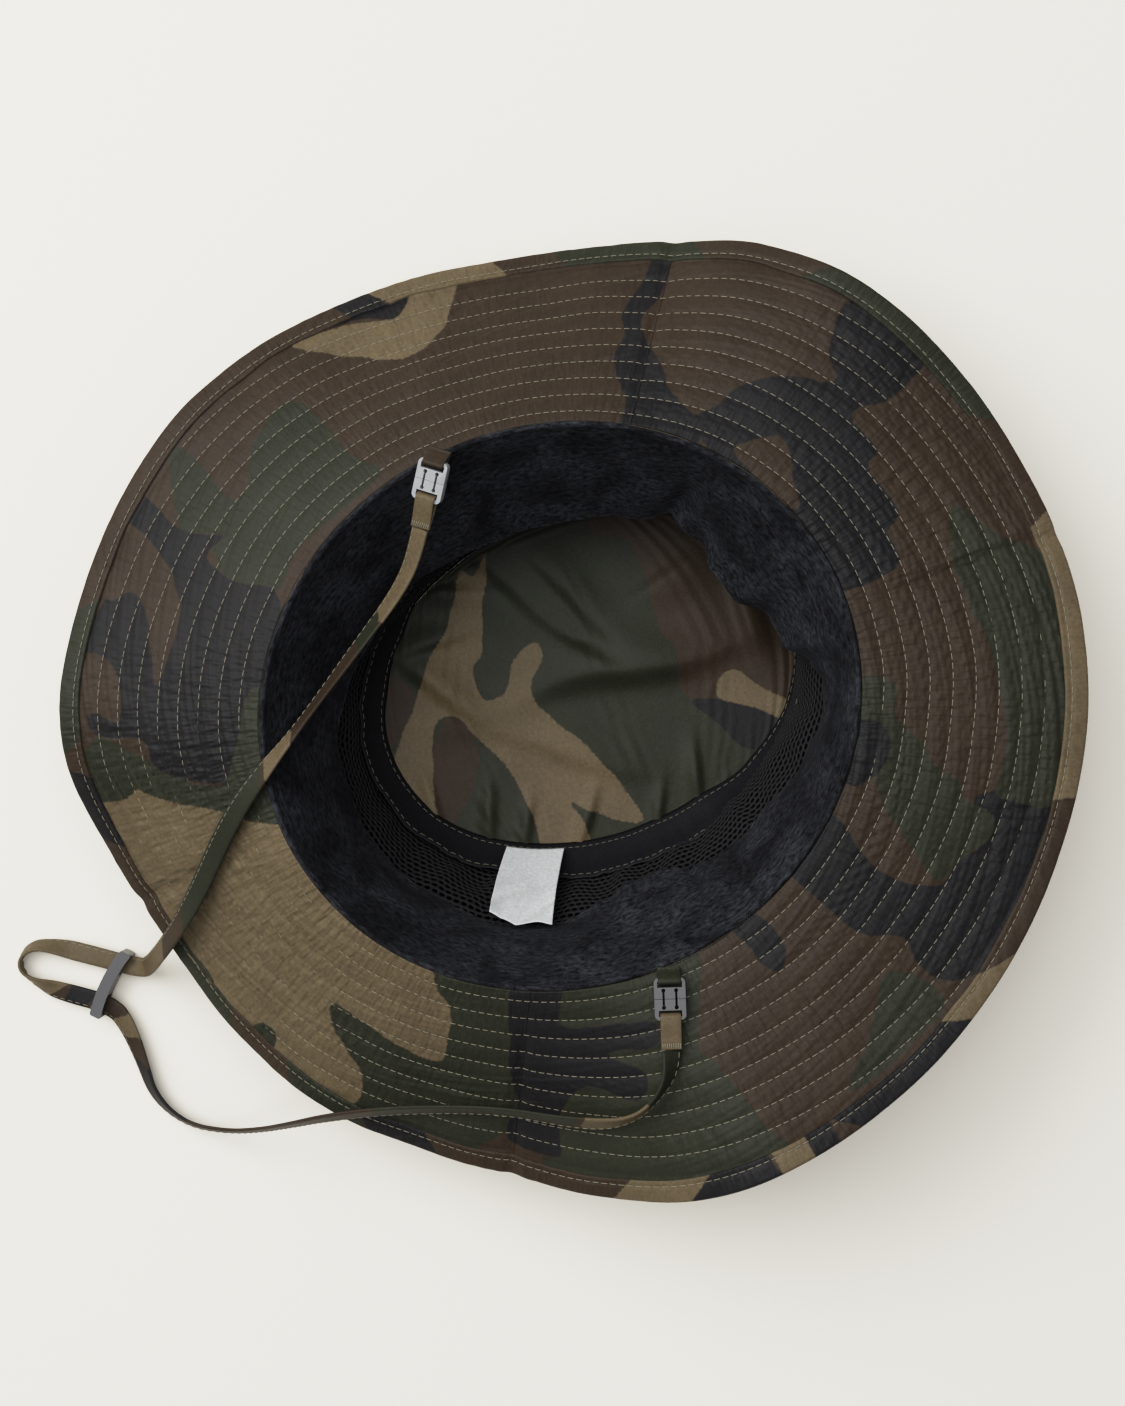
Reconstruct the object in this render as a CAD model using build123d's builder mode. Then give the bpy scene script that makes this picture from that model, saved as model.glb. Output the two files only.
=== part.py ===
"""Soft wide-brimmed hat with a breakaway chin strap, stored upside down on its crown tip.

The hat rests on the flat tip of its crown at z = 0, with its head opening facing up.
+Y points to the front of the hat, and the strap tabs sit at the ears, near +X and -X.
The origin is on the floor, below the middle of the brim.  All sizes are in millimetres.
"""

import os
from math import cos, degrees, hypot, pi, radians, sin, sqrt, tan

from build123d import *

# ---------------------------------------------------------------- driving dimensions
# Crown: a soft oval tub that widens from its tip to the head opening.
opening_length = 202.6
opening_width = 186.6
opening_centre = (-4.1, -6.2)
tip_length = 168.0
tip_width = 130.0
tip_centre = (-7.2, 4.7)
crown_depth = 80.0
wall_bulge = 0.6

# Cloth layers.
cloth_thickness = 0.9
lining_thickness = 0.7
mesh_thickness = 0.8
tape_thickness = 0.5
layer_clearance = 0.3
seam_gap = 0.2

# Bands inside the crown.
tape_width = 10.0
mesh_bottom = 3.0
mesh_overlap = 8.0
sweatband_width = 43.0
sweatband_thickness = 3.6
sweatband_bulge = 4.0
sweatband_drop = 3.0

# Brim: quilted ring of three layers, with a bound edge.
brim_width = 77.0
brim_cloth_thickness = 0.5
interlining_thickness = 1.0
brim_layer_gap = 0.25
brim_section_step = 6.0
under_seam_azimuths = (142.0, 330.0)
outer_seam_azimuths = (85.0, 271.0)
# Slope of the brim against the floor, in degrees, at azimuths counted from +X towards +Y.
# It lies level at one ear and droops at the back and the far side, as limp cloth does.
brim_slopes = (
    (0, 7),
    (20, 2),
    (45, -4),
    (70, -4),
    (95, -11),
    (120, -8),
    (132, -14),
    (142, -25),
    (160, -33),
    (180, -31),
    (205, -23),
    (232, -22),
    (250, -21),
    (265, -33),
    (280, -38),
    (300, -34),
    (328, -28),
    (340, -17),
    (352, 0),
)

# Edge binding: a folded strip round the rim of the brim.
binding_width = 9.0
binding_thickness = 0.6

# Breakaway clips, one at each ear: two flat plastic halves that pull apart.
clip_length = 14.0
clip_width = 10.4
clip_thickness = 2.8
clip_window_length = 1.9
clip_bar = 1.3
clip_corner = 1.8
tongue_length = 3.0
tongue_width = 2.2
tongue_thickness = 1.2
tongue_root = 1.0
snap_slot_spacing = 4.2
snap_slot_length = 5.6
snap_slot_width = 0.7
snap_hole_diameter = 1.3
running_gap = 0.1

# Sewn loops that hold the clips: a tab in the opening seam, and the strap's own end.
tab_width = 7.6
tab_length = 10.3
loop_thickness = 0.7
loop_clearance = 0.3
strap_end_length = 16.5
seam_rest = 1.15

# Where each clip hangs: azimuth of its tab in the opening seam, heading and slope of the
# clip, how far the clip stands above the seam, and its roll about its own length.
right_clip_place = (358.6, -22.0, 5.0, 3.2, 0.0)
left_clip_place = (181.6, -38.0, -18.0, 4.6, 14.0)

# Chin strap: a folded tape, drawn as a round tube of the same section area.
strap_width = 7.0
strap_thickness = 1.2
strap_radius_share = 0.45

# Slider: a bar with two slots that gathers both runs of the strap.
slider_length = 26.0
slider_height = 9.4
slider_depth = 4.4
slider_slot_width = 8.4
slider_slot_height = 4.2
slider_arch = 1.6
slider_run_spacing = 16.0
slider_centre = (21.1, -198.5, 5.0)
slider_heading = 220.0
slider_edge_fillet = 0.9

# Care label: a folded tag sewn under the tape, leaning on the sweatband's free edge.
label_width = 23.0
label_thickness = 0.4
label_azimuth = 334.0
label_overlap = 6.0
label_standoff = 1.2

# Route of the strap from the left clip to the right clip.
strap_route = (
    (-77.1, -24.7, 76.2),
    (-68.8, -31.0, 72.8),
    (-60.5, -41.5, 70.5),
    (-51.5, -57.5, 71.0),
    (-41.0, -75.0, 76.0),
    (-31.5, -90.5, 83.0),
    (-24.0, -104.5, 85.0),
    (-17.0, -117.5, 78.5),
    (-8.2, -130.3, 68.6),
    (0.5, -141.3, 60.2),
    (7.0, -150.5, 53.6),
    (12.6, -159.2, 47.2),
    (16.7, -167.6, 38.8),
    (19.6, -175.0, 27.0),
    (21.2, -180.4, 13.5),
    (21.7, -185.4, 5.0),
    (7.8, -202.5, 5.0),
    (1.0, -211.5, 4.4),
    (-2.8, -218.8, 4.0),
    (-0.6, -225.2, 4.0),
    (5.4, -226.8, 4.0),
    (11.5, -222.3, 4.4),
    (17.4, -215.5, 5.0),
    (29.4, -200.7, 5.0),
    (38.7, -198.9, 4.4),
    (51.4, -199.4, 4.0),
    (66.5, -201.0, 3.8),
    (80.5, -194.0, 4.2),
    (88.5, -180.5, 8.0),
    (91.5, -167.0, 19.0),
    (92.5, -153.0, 33.5),
    (93.5, -139.5, 45.0),
    (98.0, -120.5, 51.0),
    (106.0, -98.0, 56.5),
    (114.5, -78.5, 61.5),
    (124.5, -62.0, 67.5),
    (130.0, -48.5, 75.0),
    (130.5, -38.0, 81.0),
    (126.5, -28.5, 85.0),
    (120.4, -21.2, 86.2),
    (114.4, -18.8, 85.6),
)

# ---------------------------------------------------------------- worked-out sizes
under_layer = (-brim_cloth_thickness, 0.0)
interlining_layer = (
    under_layer[0] - brim_layer_gap - interlining_thickness,
    under_layer[0] - brim_layer_gap,
)
outer_layer = (
    interlining_layer[0] - brim_layer_gap - brim_cloth_thickness,
    interlining_layer[0] - brim_layer_gap,
)
brim_edge = brim_width - binding_thickness - seam_gap

mesh_inset = cloth_thickness + layer_clearance
tape_inset = mesh_inset + mesh_thickness + layer_clearance
lining_floor = cloth_thickness + seam_gap
band_top = crown_depth - sweatband_drop
band_bottom = band_top - sweatband_width
mesh_top = band_bottom + mesh_overlap
label_top = band_bottom + label_overlap
strap_diameter = sqrt(4 * strap_width * strap_thickness / pi)
socket_length = tongue_length + running_gap
socket_width = tongue_width + 2 * running_gap
socket_height = tongue_thickness + 2 * running_gap


# ---------------------------------------------------------------- shared geometry
def wall_oval(height, inset=0.0):
    """Centre and half axes of the crown's side at a height, drawn in by an inset."""
    share = height / crown_depth
    share += wall_bulge * share * (1 - share)
    drift = Vector(*opening_centre) - Vector(*tip_centre)
    centre = Vector(*tip_centre) + drift * share
    half_x = (tip_width + share * (opening_width - tip_width)) / 2 - inset
    half_y = (tip_length + share * (opening_length - tip_length)) / 2 - inset
    return centre, half_x, half_y


def oval_radius(half_x, half_y, azimuth):
    """Distance from an oval's centre to its edge at an azimuth in degrees."""
    return 1 / hypot(cos(radians(azimuth)) / half_x, sin(radians(azimuth)) / half_y)


def brim_slope(azimuth):
    """Slope of the brim in degrees: a smooth closed curve through the stations."""
    count = len(brim_slopes)
    azimuth %= 360
    for i in range(count):
        start, value = brim_slopes[i]
        following, next_value = brim_slopes[(i + 1) % count]
        span = (following - start) % 360
        share = ((azimuth - start) % 360) / span
        if share < 1:
            break
    before, before_value = brim_slopes[i - 1]
    after, after_value = brim_slopes[(i + 2) % count]
    rise = (next_value - before_value) / ((following - before) % 360) * span
    next_rise = (after_value - value) / ((after - start) % 360) * span
    return (
        (2 * share**3 - 3 * share**2 + 1) * value
        + (share**3 - 2 * share**2 + share) * rise
        + (3 * share**2 - 2 * share**3) * next_value
        + (share**3 - share**2) * next_rise
    )


def radial_plane(azimuth):
    """Upright plane through the opening's centre; x runs outwards and y runs up."""
    turn = radians(azimuth)
    return Plane(
        origin=(*opening_centre, 0),
        x_dir=(cos(turn), sin(turn), 0),
        z_dir=(sin(turn), -cos(turn), 0),
    )


def brim_point(azimuth, along, above):
    """Point of the brim in its radial plane: along the slope, and above its top face."""
    slope = radians(brim_slope(azimuth))
    start = oval_radius(opening_width / 2, opening_length / 2, azimuth)
    return (
        start + along * cos(slope) - above * sin(slope),
        crown_depth + along * sin(slope) + above * cos(slope),
    )


def inner_brim_point(azimuth, above):
    """Point where a layer of the brim meets the crown's side, a seam gap away from it."""
    slope = radians(brim_slope(azimuth))
    along = (seam_gap + above * sin(slope)) / cos(slope)
    return brim_point(azimuth, along, above)


def layer_corners(azimuth, layer):
    """Section of one brim layer, from the opening seam to the binding."""
    low, high = layer
    return [
        inner_brim_point(azimuth, low),
        brim_point(azimuth, brim_edge, low),
        brim_point(azimuth, brim_edge, high),
        inner_brim_point(azimuth, high),
    ]


def binding_corners(azimuth, _layer):
    """Section of the binding: a channel that closes over the three layers' edge."""
    inner_top = brim_layer_gap
    inner_bottom = outer_layer[0] - brim_layer_gap
    outer_top = inner_top + binding_thickness
    outer_bottom = inner_bottom - binding_thickness
    start = brim_width - binding_width
    web = brim_width - binding_thickness
    corners = (
        (start, inner_top),
        (start, outer_top),
        (brim_width, outer_top),
        (brim_width, outer_bottom),
        (start, outer_bottom),
        (start, inner_bottom),
        (web, inner_bottom),
        (web, inner_top),
    )
    return [brim_point(azimuth, along, above) for along, above in corners]


def section_azimuths(start, end):
    """Azimuths of the sections between two ends: an even grid, and every seam of the brim."""
    count = round(720 / brim_section_step)
    grid = {brim_section_step * i for i in range(count + 1)}
    seams = {seam + turn for seam in under_seam_azimuths + outer_seam_azimuths for turn in (0, 360)}
    between = sorted(azimuth for azimuth in grid | seams if start < azimuth < end)
    return [start, *between, end]


def brim_stretch(corners, layer, start, end):
    """Solid of the brim between two azimuths, lofted through radial sections."""
    with BuildPart() as stretch:
        for azimuth in section_azimuths(start, end):
            with BuildSketch(radial_plane(azimuth)):
                with BuildLine():
                    Polyline(*corners(azimuth, layer), close=True)
                make_face()
        loft(ruled=True)
    return stretch.part


def seam_angle(azimuth):
    """Angle that half the seam gap takes up at the opening's edge."""
    reach = oval_radius(opening_width / 2, opening_length / 2, azimuth)
    return degrees(seam_gap / 2 / reach)


def seam_panels(corners, layer, seams):
    """Two panels of a brim layer that meet at two radial seams."""
    first, second = seams
    spans = ((first, second), (second, first + 360))
    return [
        brim_stretch(corners, layer, start + seam_angle(start), end - seam_angle(end))
        for start, end in spans
    ]


def wall_ring(low, high, outer_inset, inner_insets):
    """Ring that follows the crown's side between two heights, with its wall's insets.

    inner_insets are those of the inner face at the bottom, middle and top.
    """
    heights = (low, (low + high) / 2, high)
    outer_insets = (outer_inset,) * len(heights)
    with BuildPart() as ring:
        for insets, mode in ((outer_insets, Mode.ADD), (inner_insets, Mode.SUBTRACT)):
            for height, inset in zip(heights, insets):
                centre, half_x, half_y = wall_oval(height, inset)
                with BuildSketch(Plane.XY.offset(height)):
                    with Locations(centre):
                        Ellipse(half_x, half_y)
            loft(mode=mode)
    return ring.part


def hang_plane(place):
    """Plane of a clip: origin on its joint line, x towards the strap, z off its face."""
    azimuth, heading, slope, lift, roll = place
    reach = oval_radius(opening_width / 2, opening_length / 2, azimuth)
    seam = (
        opening_centre[0] + reach * cos(radians(azimuth)),
        opening_centre[1] + reach * sin(radians(azimuth)),
        crown_depth + lift,
    )
    turn, climb = radians(heading), radians(slope)
    along = Vector(cos(turn) * cos(climb), sin(turn) * cos(climb), sin(climb))
    upright = Vector(-cos(turn) * sin(climb), -sin(turn) * sin(climb), cos(climb))
    upright = upright.rotate(Axis((0, 0, 0), along), roll)
    return Plane(origin=Vector(*seam) + along * tab_length, x_dir=along, z_dir=upright)


def finish(part, name):
    """Label a piece and write it as a STEP file."""
    part.label = name
    export_step(part, f"parts/{name}.step")


os.makedirs("parts", exist_ok=True)

# ---------------------------------------------------------------- crown
tip_middle, tip_half_x, tip_half_y = wall_oval(0)

# Outer cloth of the flat crown tip, which the hat stands on.
with BuildPart() as crown_tip:
    with BuildSketch(Plane.XY):
        with Locations(tip_middle):
            Ellipse(tip_half_x, tip_half_y)
    extrude(amount=cloth_thickness)
finish(crown_tip.part, "crown_tip")

# Printed lining of the tip, seen at the bottom of the open hat.
with BuildPart() as tip_lining:
    with BuildSketch(Plane.XY.offset(lining_floor)):
        with Locations(tip_middle):
            Ellipse(tip_half_x - tape_inset, tip_half_y - tape_inset)
    extrude(amount=lining_thickness)
finish(tip_lining.part, "tip_lining")

# Side of the crown: a front and a back panel that meet in seams at the ears.
side_low = cloth_thickness + seam_gap
side_insets = (cloth_thickness,) * 3
side_cut = Plane.XZ.offset(-opening_centre[1])
for name, keep, shift in (("crown_side_front", Keep.BOTTOM, 1), ("crown_side_back", Keep.TOP, -1)):
    with BuildPart() as crown_side:
        add(wall_ring(side_low, crown_depth, 0.0, side_insets))
        split(bisect_by=side_cut.offset(-shift * seam_gap / 2), keep=keep)
    finish(crown_side.part, name)

# Open mesh that lines the lower part of the side.
with BuildPart() as mesh_lining:
    mesh_insets = (mesh_inset + mesh_thickness,) * 3
    add(wall_ring(mesh_bottom, mesh_top, mesh_inset, mesh_insets))
finish(mesh_lining.part, "mesh_lining")

# Woven tape that covers the seam round the tip.
with BuildPart() as tip_seam_tape:
    tape_insets = (tape_inset + tape_thickness,) * 3
    add(wall_ring(mesh_bottom, mesh_bottom + tape_width, tape_inset, tape_insets))
finish(tip_seam_tape.part, "tip_seam_tape")

# Fleece sweatband, sewn in at the opening and soft along its free lower edge.
with BuildPart() as sweatband:
    band_face = tape_inset + sweatband_thickness
    band_insets = (band_face, band_face + sweatband_bulge, band_face)
    add(wall_ring(band_bottom, band_top, tape_inset, band_insets))
finish(sweatband.part, "sweatband")

# ---------------------------------------------------------------- brim
brim_under = seam_panels(layer_corners, under_layer, under_seam_azimuths)
for part, name in zip(brim_under, ("brim_under_back", "brim_under_front")):
    finish(part, name)

brim_outer = seam_panels(layer_corners, outer_layer, outer_seam_azimuths)
for part, name in zip(brim_outer, ("brim_outer_left", "brim_outer_right")):
    finish(part, name)

# Stiffener between the two cloths, and the binding: each is one closed ring.
for name, corners, layer in (
    ("brim_interlining", layer_corners, interlining_layer),
    ("brim_binding", binding_corners, None),
):
    with BuildPart() as closed_ring:
        add(brim_stretch(corners, layer, 0, 180))
        add(brim_stretch(corners, layer, 180, 360))
    finish(closed_ring.part, name)


# ---------------------------------------------------------------- clips and their loops
def clip_half(plane, side, window_width):
    """One half of a breakaway clip: side is -1 for the tab's half and 1 for the strap's."""
    half = clip_length / 2
    body_length = half - running_gap / 2
    window_middle = half - clip_bar - clip_window_length / 2
    with BuildPart(plane) as piece:
        with BuildSketch(plane.offset(-clip_thickness / 2)):
            with Locations((side * (half - body_length / 2), 0)):
                Rectangle(body_length, clip_width)
            fillet(vertices().sort_by(Axis.X)[::side][-2:], clip_corner)
            with Locations((side * window_middle, 0)):
                Rectangle(clip_window_length, window_width, mode=Mode.SUBTRACT)
            with GridLocations(snap_slot_length, snap_slot_spacing, 2, 2):
                Circle(snap_hole_diameter / 2, mode=Mode.SUBTRACT)
            with GridLocations(0, snap_slot_spacing, 1, 2):
                Rectangle(snap_slot_length, snap_slot_width, mode=Mode.SUBTRACT)
        extrude(amount=clip_thickness)
        if side > 0:
            with Locations((-tongue_length / 2 + tongue_root / 2, 0, 0)):
                Box(tongue_length + tongue_root, tongue_width, tongue_thickness)
        else:
            with Locations((-socket_length / 2, 0, 0)):
                Box(socket_length, socket_width, socket_height, mode=Mode.SUBTRACT)
    return piece.part


def sewn_loop(plane, side, reach, end_height, width):
    """Loop of tape round a clip's bar, sewn flat where it ends, reach away from the joint.

    end_height is the middle of the sewn end, above the clip's middle plane.
    """
    bar_end = clip_length / 2
    bar_start = bar_end - clip_bar
    inner_half = clip_thickness / 2 + loop_clearance
    outer_half = inner_half + loop_thickness
    fold_inside = bar_start - loop_clearance
    fold_outside = fold_inside - loop_thickness
    taper = bar_end + loop_clearance
    outer = (
        (fold_outside, -outer_half),
        (fold_outside, outer_half),
        (taper, outer_half),
        (reach, end_height + loop_thickness),
        (reach, end_height - loop_thickness),
        (taper, -outer_half),
    )
    join = (taper + reach) / 2
    inner = (
        (fold_inside, -inner_half),
        (fold_inside, inner_half),
        (taper, inner_half),
        (join, end_height * (join - taper) / (reach - taper)),
        (taper, -inner_half),
    )
    cut = Plane(origin=plane.origin, x_dir=plane.x_dir, z_dir=-plane.y_dir)
    with BuildPart() as loop:
        with BuildSketch(cut):
            for corners, mode in ((outer, Mode.ADD), (inner, Mode.SUBTRACT)):
                with BuildLine():
                    Polyline(*[(side * along, up) for along, up in corners], close=True)
                make_face(mode=mode)
        extrude(amount=width / 2, both=True)
    return loop.part


clip_places = {"left": left_clip_place, "right": right_clip_place}
for ear, place in clip_places.items():
    clip_plane = hang_plane(place)
    seam_height = seam_rest - place[3]
    finish(clip_half(clip_plane, -1, tab_width + 2 * loop_clearance), f"clip_upper_{ear}")
    finish(clip_half(clip_plane, 1, strap_width + 2 * loop_clearance), f"clip_lower_{ear}")
    finish(sewn_loop(clip_plane, -1, tab_length, seam_height, tab_width), f"strap_tab_{ear}")
    finish(sewn_loop(clip_plane, 1, strap_end_length, 0.0, strap_width), f"strap_end_{ear}")

# ---------------------------------------------------------------- chin strap
route = [Vector(*point) for point in strap_route]
runs = [(end - start).length for start, end in zip(route, route[1:])]
turns = [
    (route[i] - route[i - 1]).get_angle(route[i + 1] - route[i])
    for i in range(1, len(route) - 1)
]
bends = [
    strap_radius_share * min(runs[i], runs[i + 1]) / tan(radians(turn / 2))
    for i, turn in enumerate(turns)
]
with BuildPart() as chin_strap:
    with BuildLine() as strap_line:
        FilletPolyline(*route, radius=bends)
    with BuildSketch(Plane(origin=strap_line.line @ 0, z_dir=strap_line.line % 0)):
        Circle(strap_diameter / 2)
    sweep()
finish(chin_strap.part, "chin_strap")

# ---------------------------------------------------------------- slider
slider_turn = radians(slider_heading)
slider_plane = Plane(
    origin=slider_centre,
    x_dir=(sin(slider_turn), -cos(slider_turn), 0),
    z_dir=(cos(slider_turn), sin(slider_turn), 0),
)
with BuildPart() as slider:
    with BuildSketch(Plane(origin=slider_plane.origin, x_dir=slider_plane.x_dir, z_dir=(0, 0, 1))):
        half_length = slider_length / 2
        half_depth = slider_depth / 2
        with BuildLine():
            for edge in (half_depth, -half_depth):
                ThreePointArc(
                    (-half_length, edge - slider_arch),
                    (0, edge),
                    (half_length, edge - slider_arch),
                )
            for end in (-half_length, half_length):
                Line((end, half_depth - slider_arch), (end, -half_depth - slider_arch))
        make_face()
    extrude(amount=slider_height / 2, both=True)
    fillet(slider.edges().filter_by(Axis.Z), slider_edge_fillet)
    with BuildSketch(slider_plane):
        with GridLocations(slider_run_spacing, 0, 2, 1):
            Rectangle(slider_slot_width, slider_slot_height)
    extrude(amount=slider_depth + slider_arch, both=True, mode=Mode.SUBTRACT)
finish(slider.part, "slider")

# ---------------------------------------------------------------- care label
def wall_spot(height, inset, azimuth):
    """Point on the crown's side at a height and an azimuth about its own centre."""
    centre, half_x, half_y = wall_oval(height, inset)
    reach = oval_radius(half_x, half_y, azimuth)
    return centre + Vector(reach * cos(radians(azimuth)), reach * sin(radians(azimuth)), height)


tape_top = mesh_bottom + tape_width + layer_clearance
label_foot = wall_spot(tape_top, tape_inset + tape_thickness + label_standoff, label_azimuth)
label_head = wall_spot(label_top, band_face + sweatband_bulge + label_standoff, label_azimuth)
label_up = (label_head - label_foot).normalized()
label_across = Vector(-sin(radians(label_azimuth)), cos(radians(label_azimuth)), 0)
label_plane = Plane(
    origin=(label_foot + label_head) / 2,
    x_dir=label_across,
    z_dir=label_across.cross(label_up),
)
with BuildPart() as care_label:
    with BuildSketch(label_plane):
        Rectangle(label_width, (label_head - label_foot).length)
    extrude(amount=label_thickness / 2, both=True)
finish(care_label.part, "care_label")

# ---------------------------------------------------------------- strap figures
strap_area = pi * strap_diameter**2 / 4
strap_length = sum(edge.length for edge in strap_line.edges())
length_by_volume = chin_strap.part.volume / strap_area
print("strap bend radii in mm:", [round(bend, 1) for bend in bends])
print("strap turns in degrees:", [round(turn) for turn in turns])
print("strap length in mm:", round(strap_length, 1), "by volume:", round(length_by_volume, 1))
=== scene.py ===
import math

import bmesh
import bpy
import numpy as np
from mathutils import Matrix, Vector


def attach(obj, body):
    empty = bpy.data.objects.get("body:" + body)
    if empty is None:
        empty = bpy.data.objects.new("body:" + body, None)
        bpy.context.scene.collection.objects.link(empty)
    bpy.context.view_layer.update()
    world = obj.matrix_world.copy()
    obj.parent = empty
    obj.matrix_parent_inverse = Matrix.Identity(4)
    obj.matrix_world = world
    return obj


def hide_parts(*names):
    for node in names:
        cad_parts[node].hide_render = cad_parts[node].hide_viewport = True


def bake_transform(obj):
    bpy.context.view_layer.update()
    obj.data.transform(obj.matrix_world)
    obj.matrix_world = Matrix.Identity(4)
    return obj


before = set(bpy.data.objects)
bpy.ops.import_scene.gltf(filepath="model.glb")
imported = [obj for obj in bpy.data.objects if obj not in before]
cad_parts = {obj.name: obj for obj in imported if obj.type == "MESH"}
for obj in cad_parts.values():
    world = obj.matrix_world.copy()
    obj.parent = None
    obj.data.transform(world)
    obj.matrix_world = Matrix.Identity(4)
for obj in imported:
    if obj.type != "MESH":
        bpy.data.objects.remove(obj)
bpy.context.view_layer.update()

# A soft wide-brimmed hat, lying upside down on its crown tip, with a breakaway chin strap.
# Shapes are worked out in millimetres and go into the meshes in metres.
MM = 0.001

# ------------------------------------------------------------------ sizes of the hat, in mm
OPENING = (202.6, 186.6)
OPENING_CENTRE = np.array([-4.1, -6.2])
TIP = (168.0, 130.0)
TIP_CENTRE = np.array([-7.2, 4.7])
CROWN_DEPTH = 80.0
WALL_BULGE = 0.6
BRIM_WIDTH = 77.0
BINDING_WIDTH = 9.0
BINDING_REACH = 8.0
BINDING_ROW = 71.0
BRIM_THICKNESS = 2.5
UNDER_SEAMS = (142.0, 330.0)
OUTER_SEAMS = (85.0, 271.0)
# Slope of the brim in degrees at azimuths counted from +X towards +Y.
BRIM_SLOPES = np.array([
    (0, 7), (20, 2), (45, -4), (70, -4), (95, -11), (120, -8), (132, -14), (142, -25),
    (160, -33), (180, -31), (205, -23), (232, -22), (250, -21), (265, -33), (280, -38),
    (300, -34), (328, -28), (340, -17), (352, 0),
], float)

# Quilting: rings of lockstitch, a little further apart at the front and back of the brim.
ROW_COUNT = 9
ROW_PITCH = (7.4, 0.4)
FIRST_ROW = (5.8, 1.6)
ROW_AXIS = 66.0
STITCH_LENGTH = 2.35
STITCH_GAP = 0.65
THREAD_RADIUS = 0.15

# Chin strap: a folded tape, with the route of its middle line from clip to clip.
STRAP_WIDTH = 7.0
STRAP_THICKNESS = 1.2
STRAP_ROUTE = (
    (-77.1, -24.7, 76.2), (-68.8, -31.0, 72.8), (-60.5, -41.5, 70.5), (-51.5, -57.5, 71.0),
    (-41.0, -75.0, 76.0), (-31.5, -90.5, 83.0), (-24.0, -104.5, 85.0), (-17.0, -117.5, 78.5),
    (-8.2, -130.3, 68.6), (0.5, -141.3, 60.2), (7.0, -150.5, 53.6), (12.6, -159.2, 47.2),
    (16.7, -167.6, 38.8), (19.6, -175.0, 27.0), (21.2, -180.4, 13.5), (21.7, -185.4, 5.0),
    (7.8, -202.5, 5.0), (1.0, -211.5, 4.4), (-2.8, -218.8, 4.0), (-0.6, -225.2, 4.0),
    (5.4, -226.8, 4.0), (11.5, -222.3, 4.4), (17.4, -215.5, 5.0), (29.4, -200.7, 5.0),
    (38.7, -198.9, 4.4), (51.4, -199.4, 4.0), (66.5, -201.0, 3.8), (80.5, -194.0, 4.2),
    (88.5, -180.5, 8.0), (91.5, -167.0, 19.0), (92.5, -153.0, 33.5), (93.5, -139.5, 45.0),
    (98.0, -120.5, 51.0), (106.0, -98.0, 56.5), (114.5, -78.5, 61.5), (124.5, -62.0, 67.5),
    (130.0, -48.5, 75.0), (130.5, -38.0, 81.0), (126.5, -28.5, 85.0), (120.4, -21.2, 86.2),
    (114.4, -18.8, 85.6),
)
# How far the tape is turned on edge, in degrees, at each point of the route: 0 lies flat.
STRAP_TURNS = (
    34, 44, 50, 56, 68, 60, 25, 8, 5, 10, 20, 30, 30, 25, 15, 2, 2, 55, 65, 85, 85, 60, 2,
    2, 20, 40, 55, 70, 72, 68, 66, 62, 60, 60, 62, 60, 45, 60, 75, 65, 20,
)

# ------------------------------------------------------------------ objects and camera
CAMERA_PLACE = (-0.0047, -0.0050, 0.780)
CAMERA_TURN = 66.0
CAMERA_LENS = 54.1


def placed(name, data):
    """New object that holds a mesh, curve, light or camera, linked into the scene."""
    thing = bpy.data.objects.new(name, data)
    bpy.context.collection.objects.link(thing)
    return thing


def place_camera():
    """Looks straight down on the open hat, from 0.70 m above the opening."""
    data = bpy.data.cameras.new("camera")
    data.sensor_width = 36
    data.lens = CAMERA_LENS
    camera = placed("camera", data)
    camera.location = CAMERA_PLACE
    camera.rotation_euler = (0, 0, math.radians(CAMERA_TURN))
    bpy.context.scene.camera = camera


place_camera()


# ------------------------------------------------------------------ numbers and noise
def noise(x, y, seed, period=64):
    """Smooth value noise from -1 to 1: seeded random values on a lattice, eased between."""
    lattice = np.random.default_rng(seed).uniform(-1, 1, (64, period))
    x, y = np.broadcast_arrays(np.asarray(x, float), np.asarray(y, float))
    column, row = np.floor(x).astype(int), np.floor(y).astype(int)
    across, up = x - column, y - row
    across = across * across * (3 - 2 * across)
    up = up * up * (3 - 2 * up)
    c0, c1 = column % period, (column + 1) % period
    r0, r1 = row % 64, (row + 1) % 64
    low = lattice[r0, c0] * (1 - across) + lattice[r0, c1] * across
    high = lattice[r1, c0] * (1 - across) + lattice[r1, c1] * across
    return low * (1 - up) + high * up


def step(x, low, high):
    """Eased step from 0 at low to 1 at high."""
    share = np.clip((x - low) / (high - low), 0, 1)
    return share * share * (3 - 2 * share)


def near(azimuth, middle, spread):
    """Bell of height 1 round an azimuth, with its spread in degrees."""
    turn = (azimuth - middle + 180) % 360 - 180
    return np.exp(-((turn / spread) ** 2))


def unit(vectors):
    """Vectors drawn out to length 1."""
    return vectors / np.linalg.norm(vectors, axis=-1, keepdims=True)


def grid(rows, columns):
    """Row values and column values at each point of a grid."""
    return np.meshgrid(rows, columns, indexing="ij")


def stations_round(stations, azimuth):
    """Closed run of (azimuth, value) stations, with the span and share of each azimuth."""
    places, values = stations.T
    places = np.concatenate([places - 360, places, places + 360])
    turn = np.asarray(azimuth, float) % 360
    i = np.searchsorted(places, turn, side="right") - 1
    return places, np.tile(values, 3), i, (turn - places[i]) / (places[i + 1] - places[i])


def eased(stations, azimuth):
    """Value round the crown: eased from one station to the next."""
    _, values, i, share = stations_round(stations, azimuth)
    return values[i] + (values[i + 1] - values[i]) * step(share, 0, 1)


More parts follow.
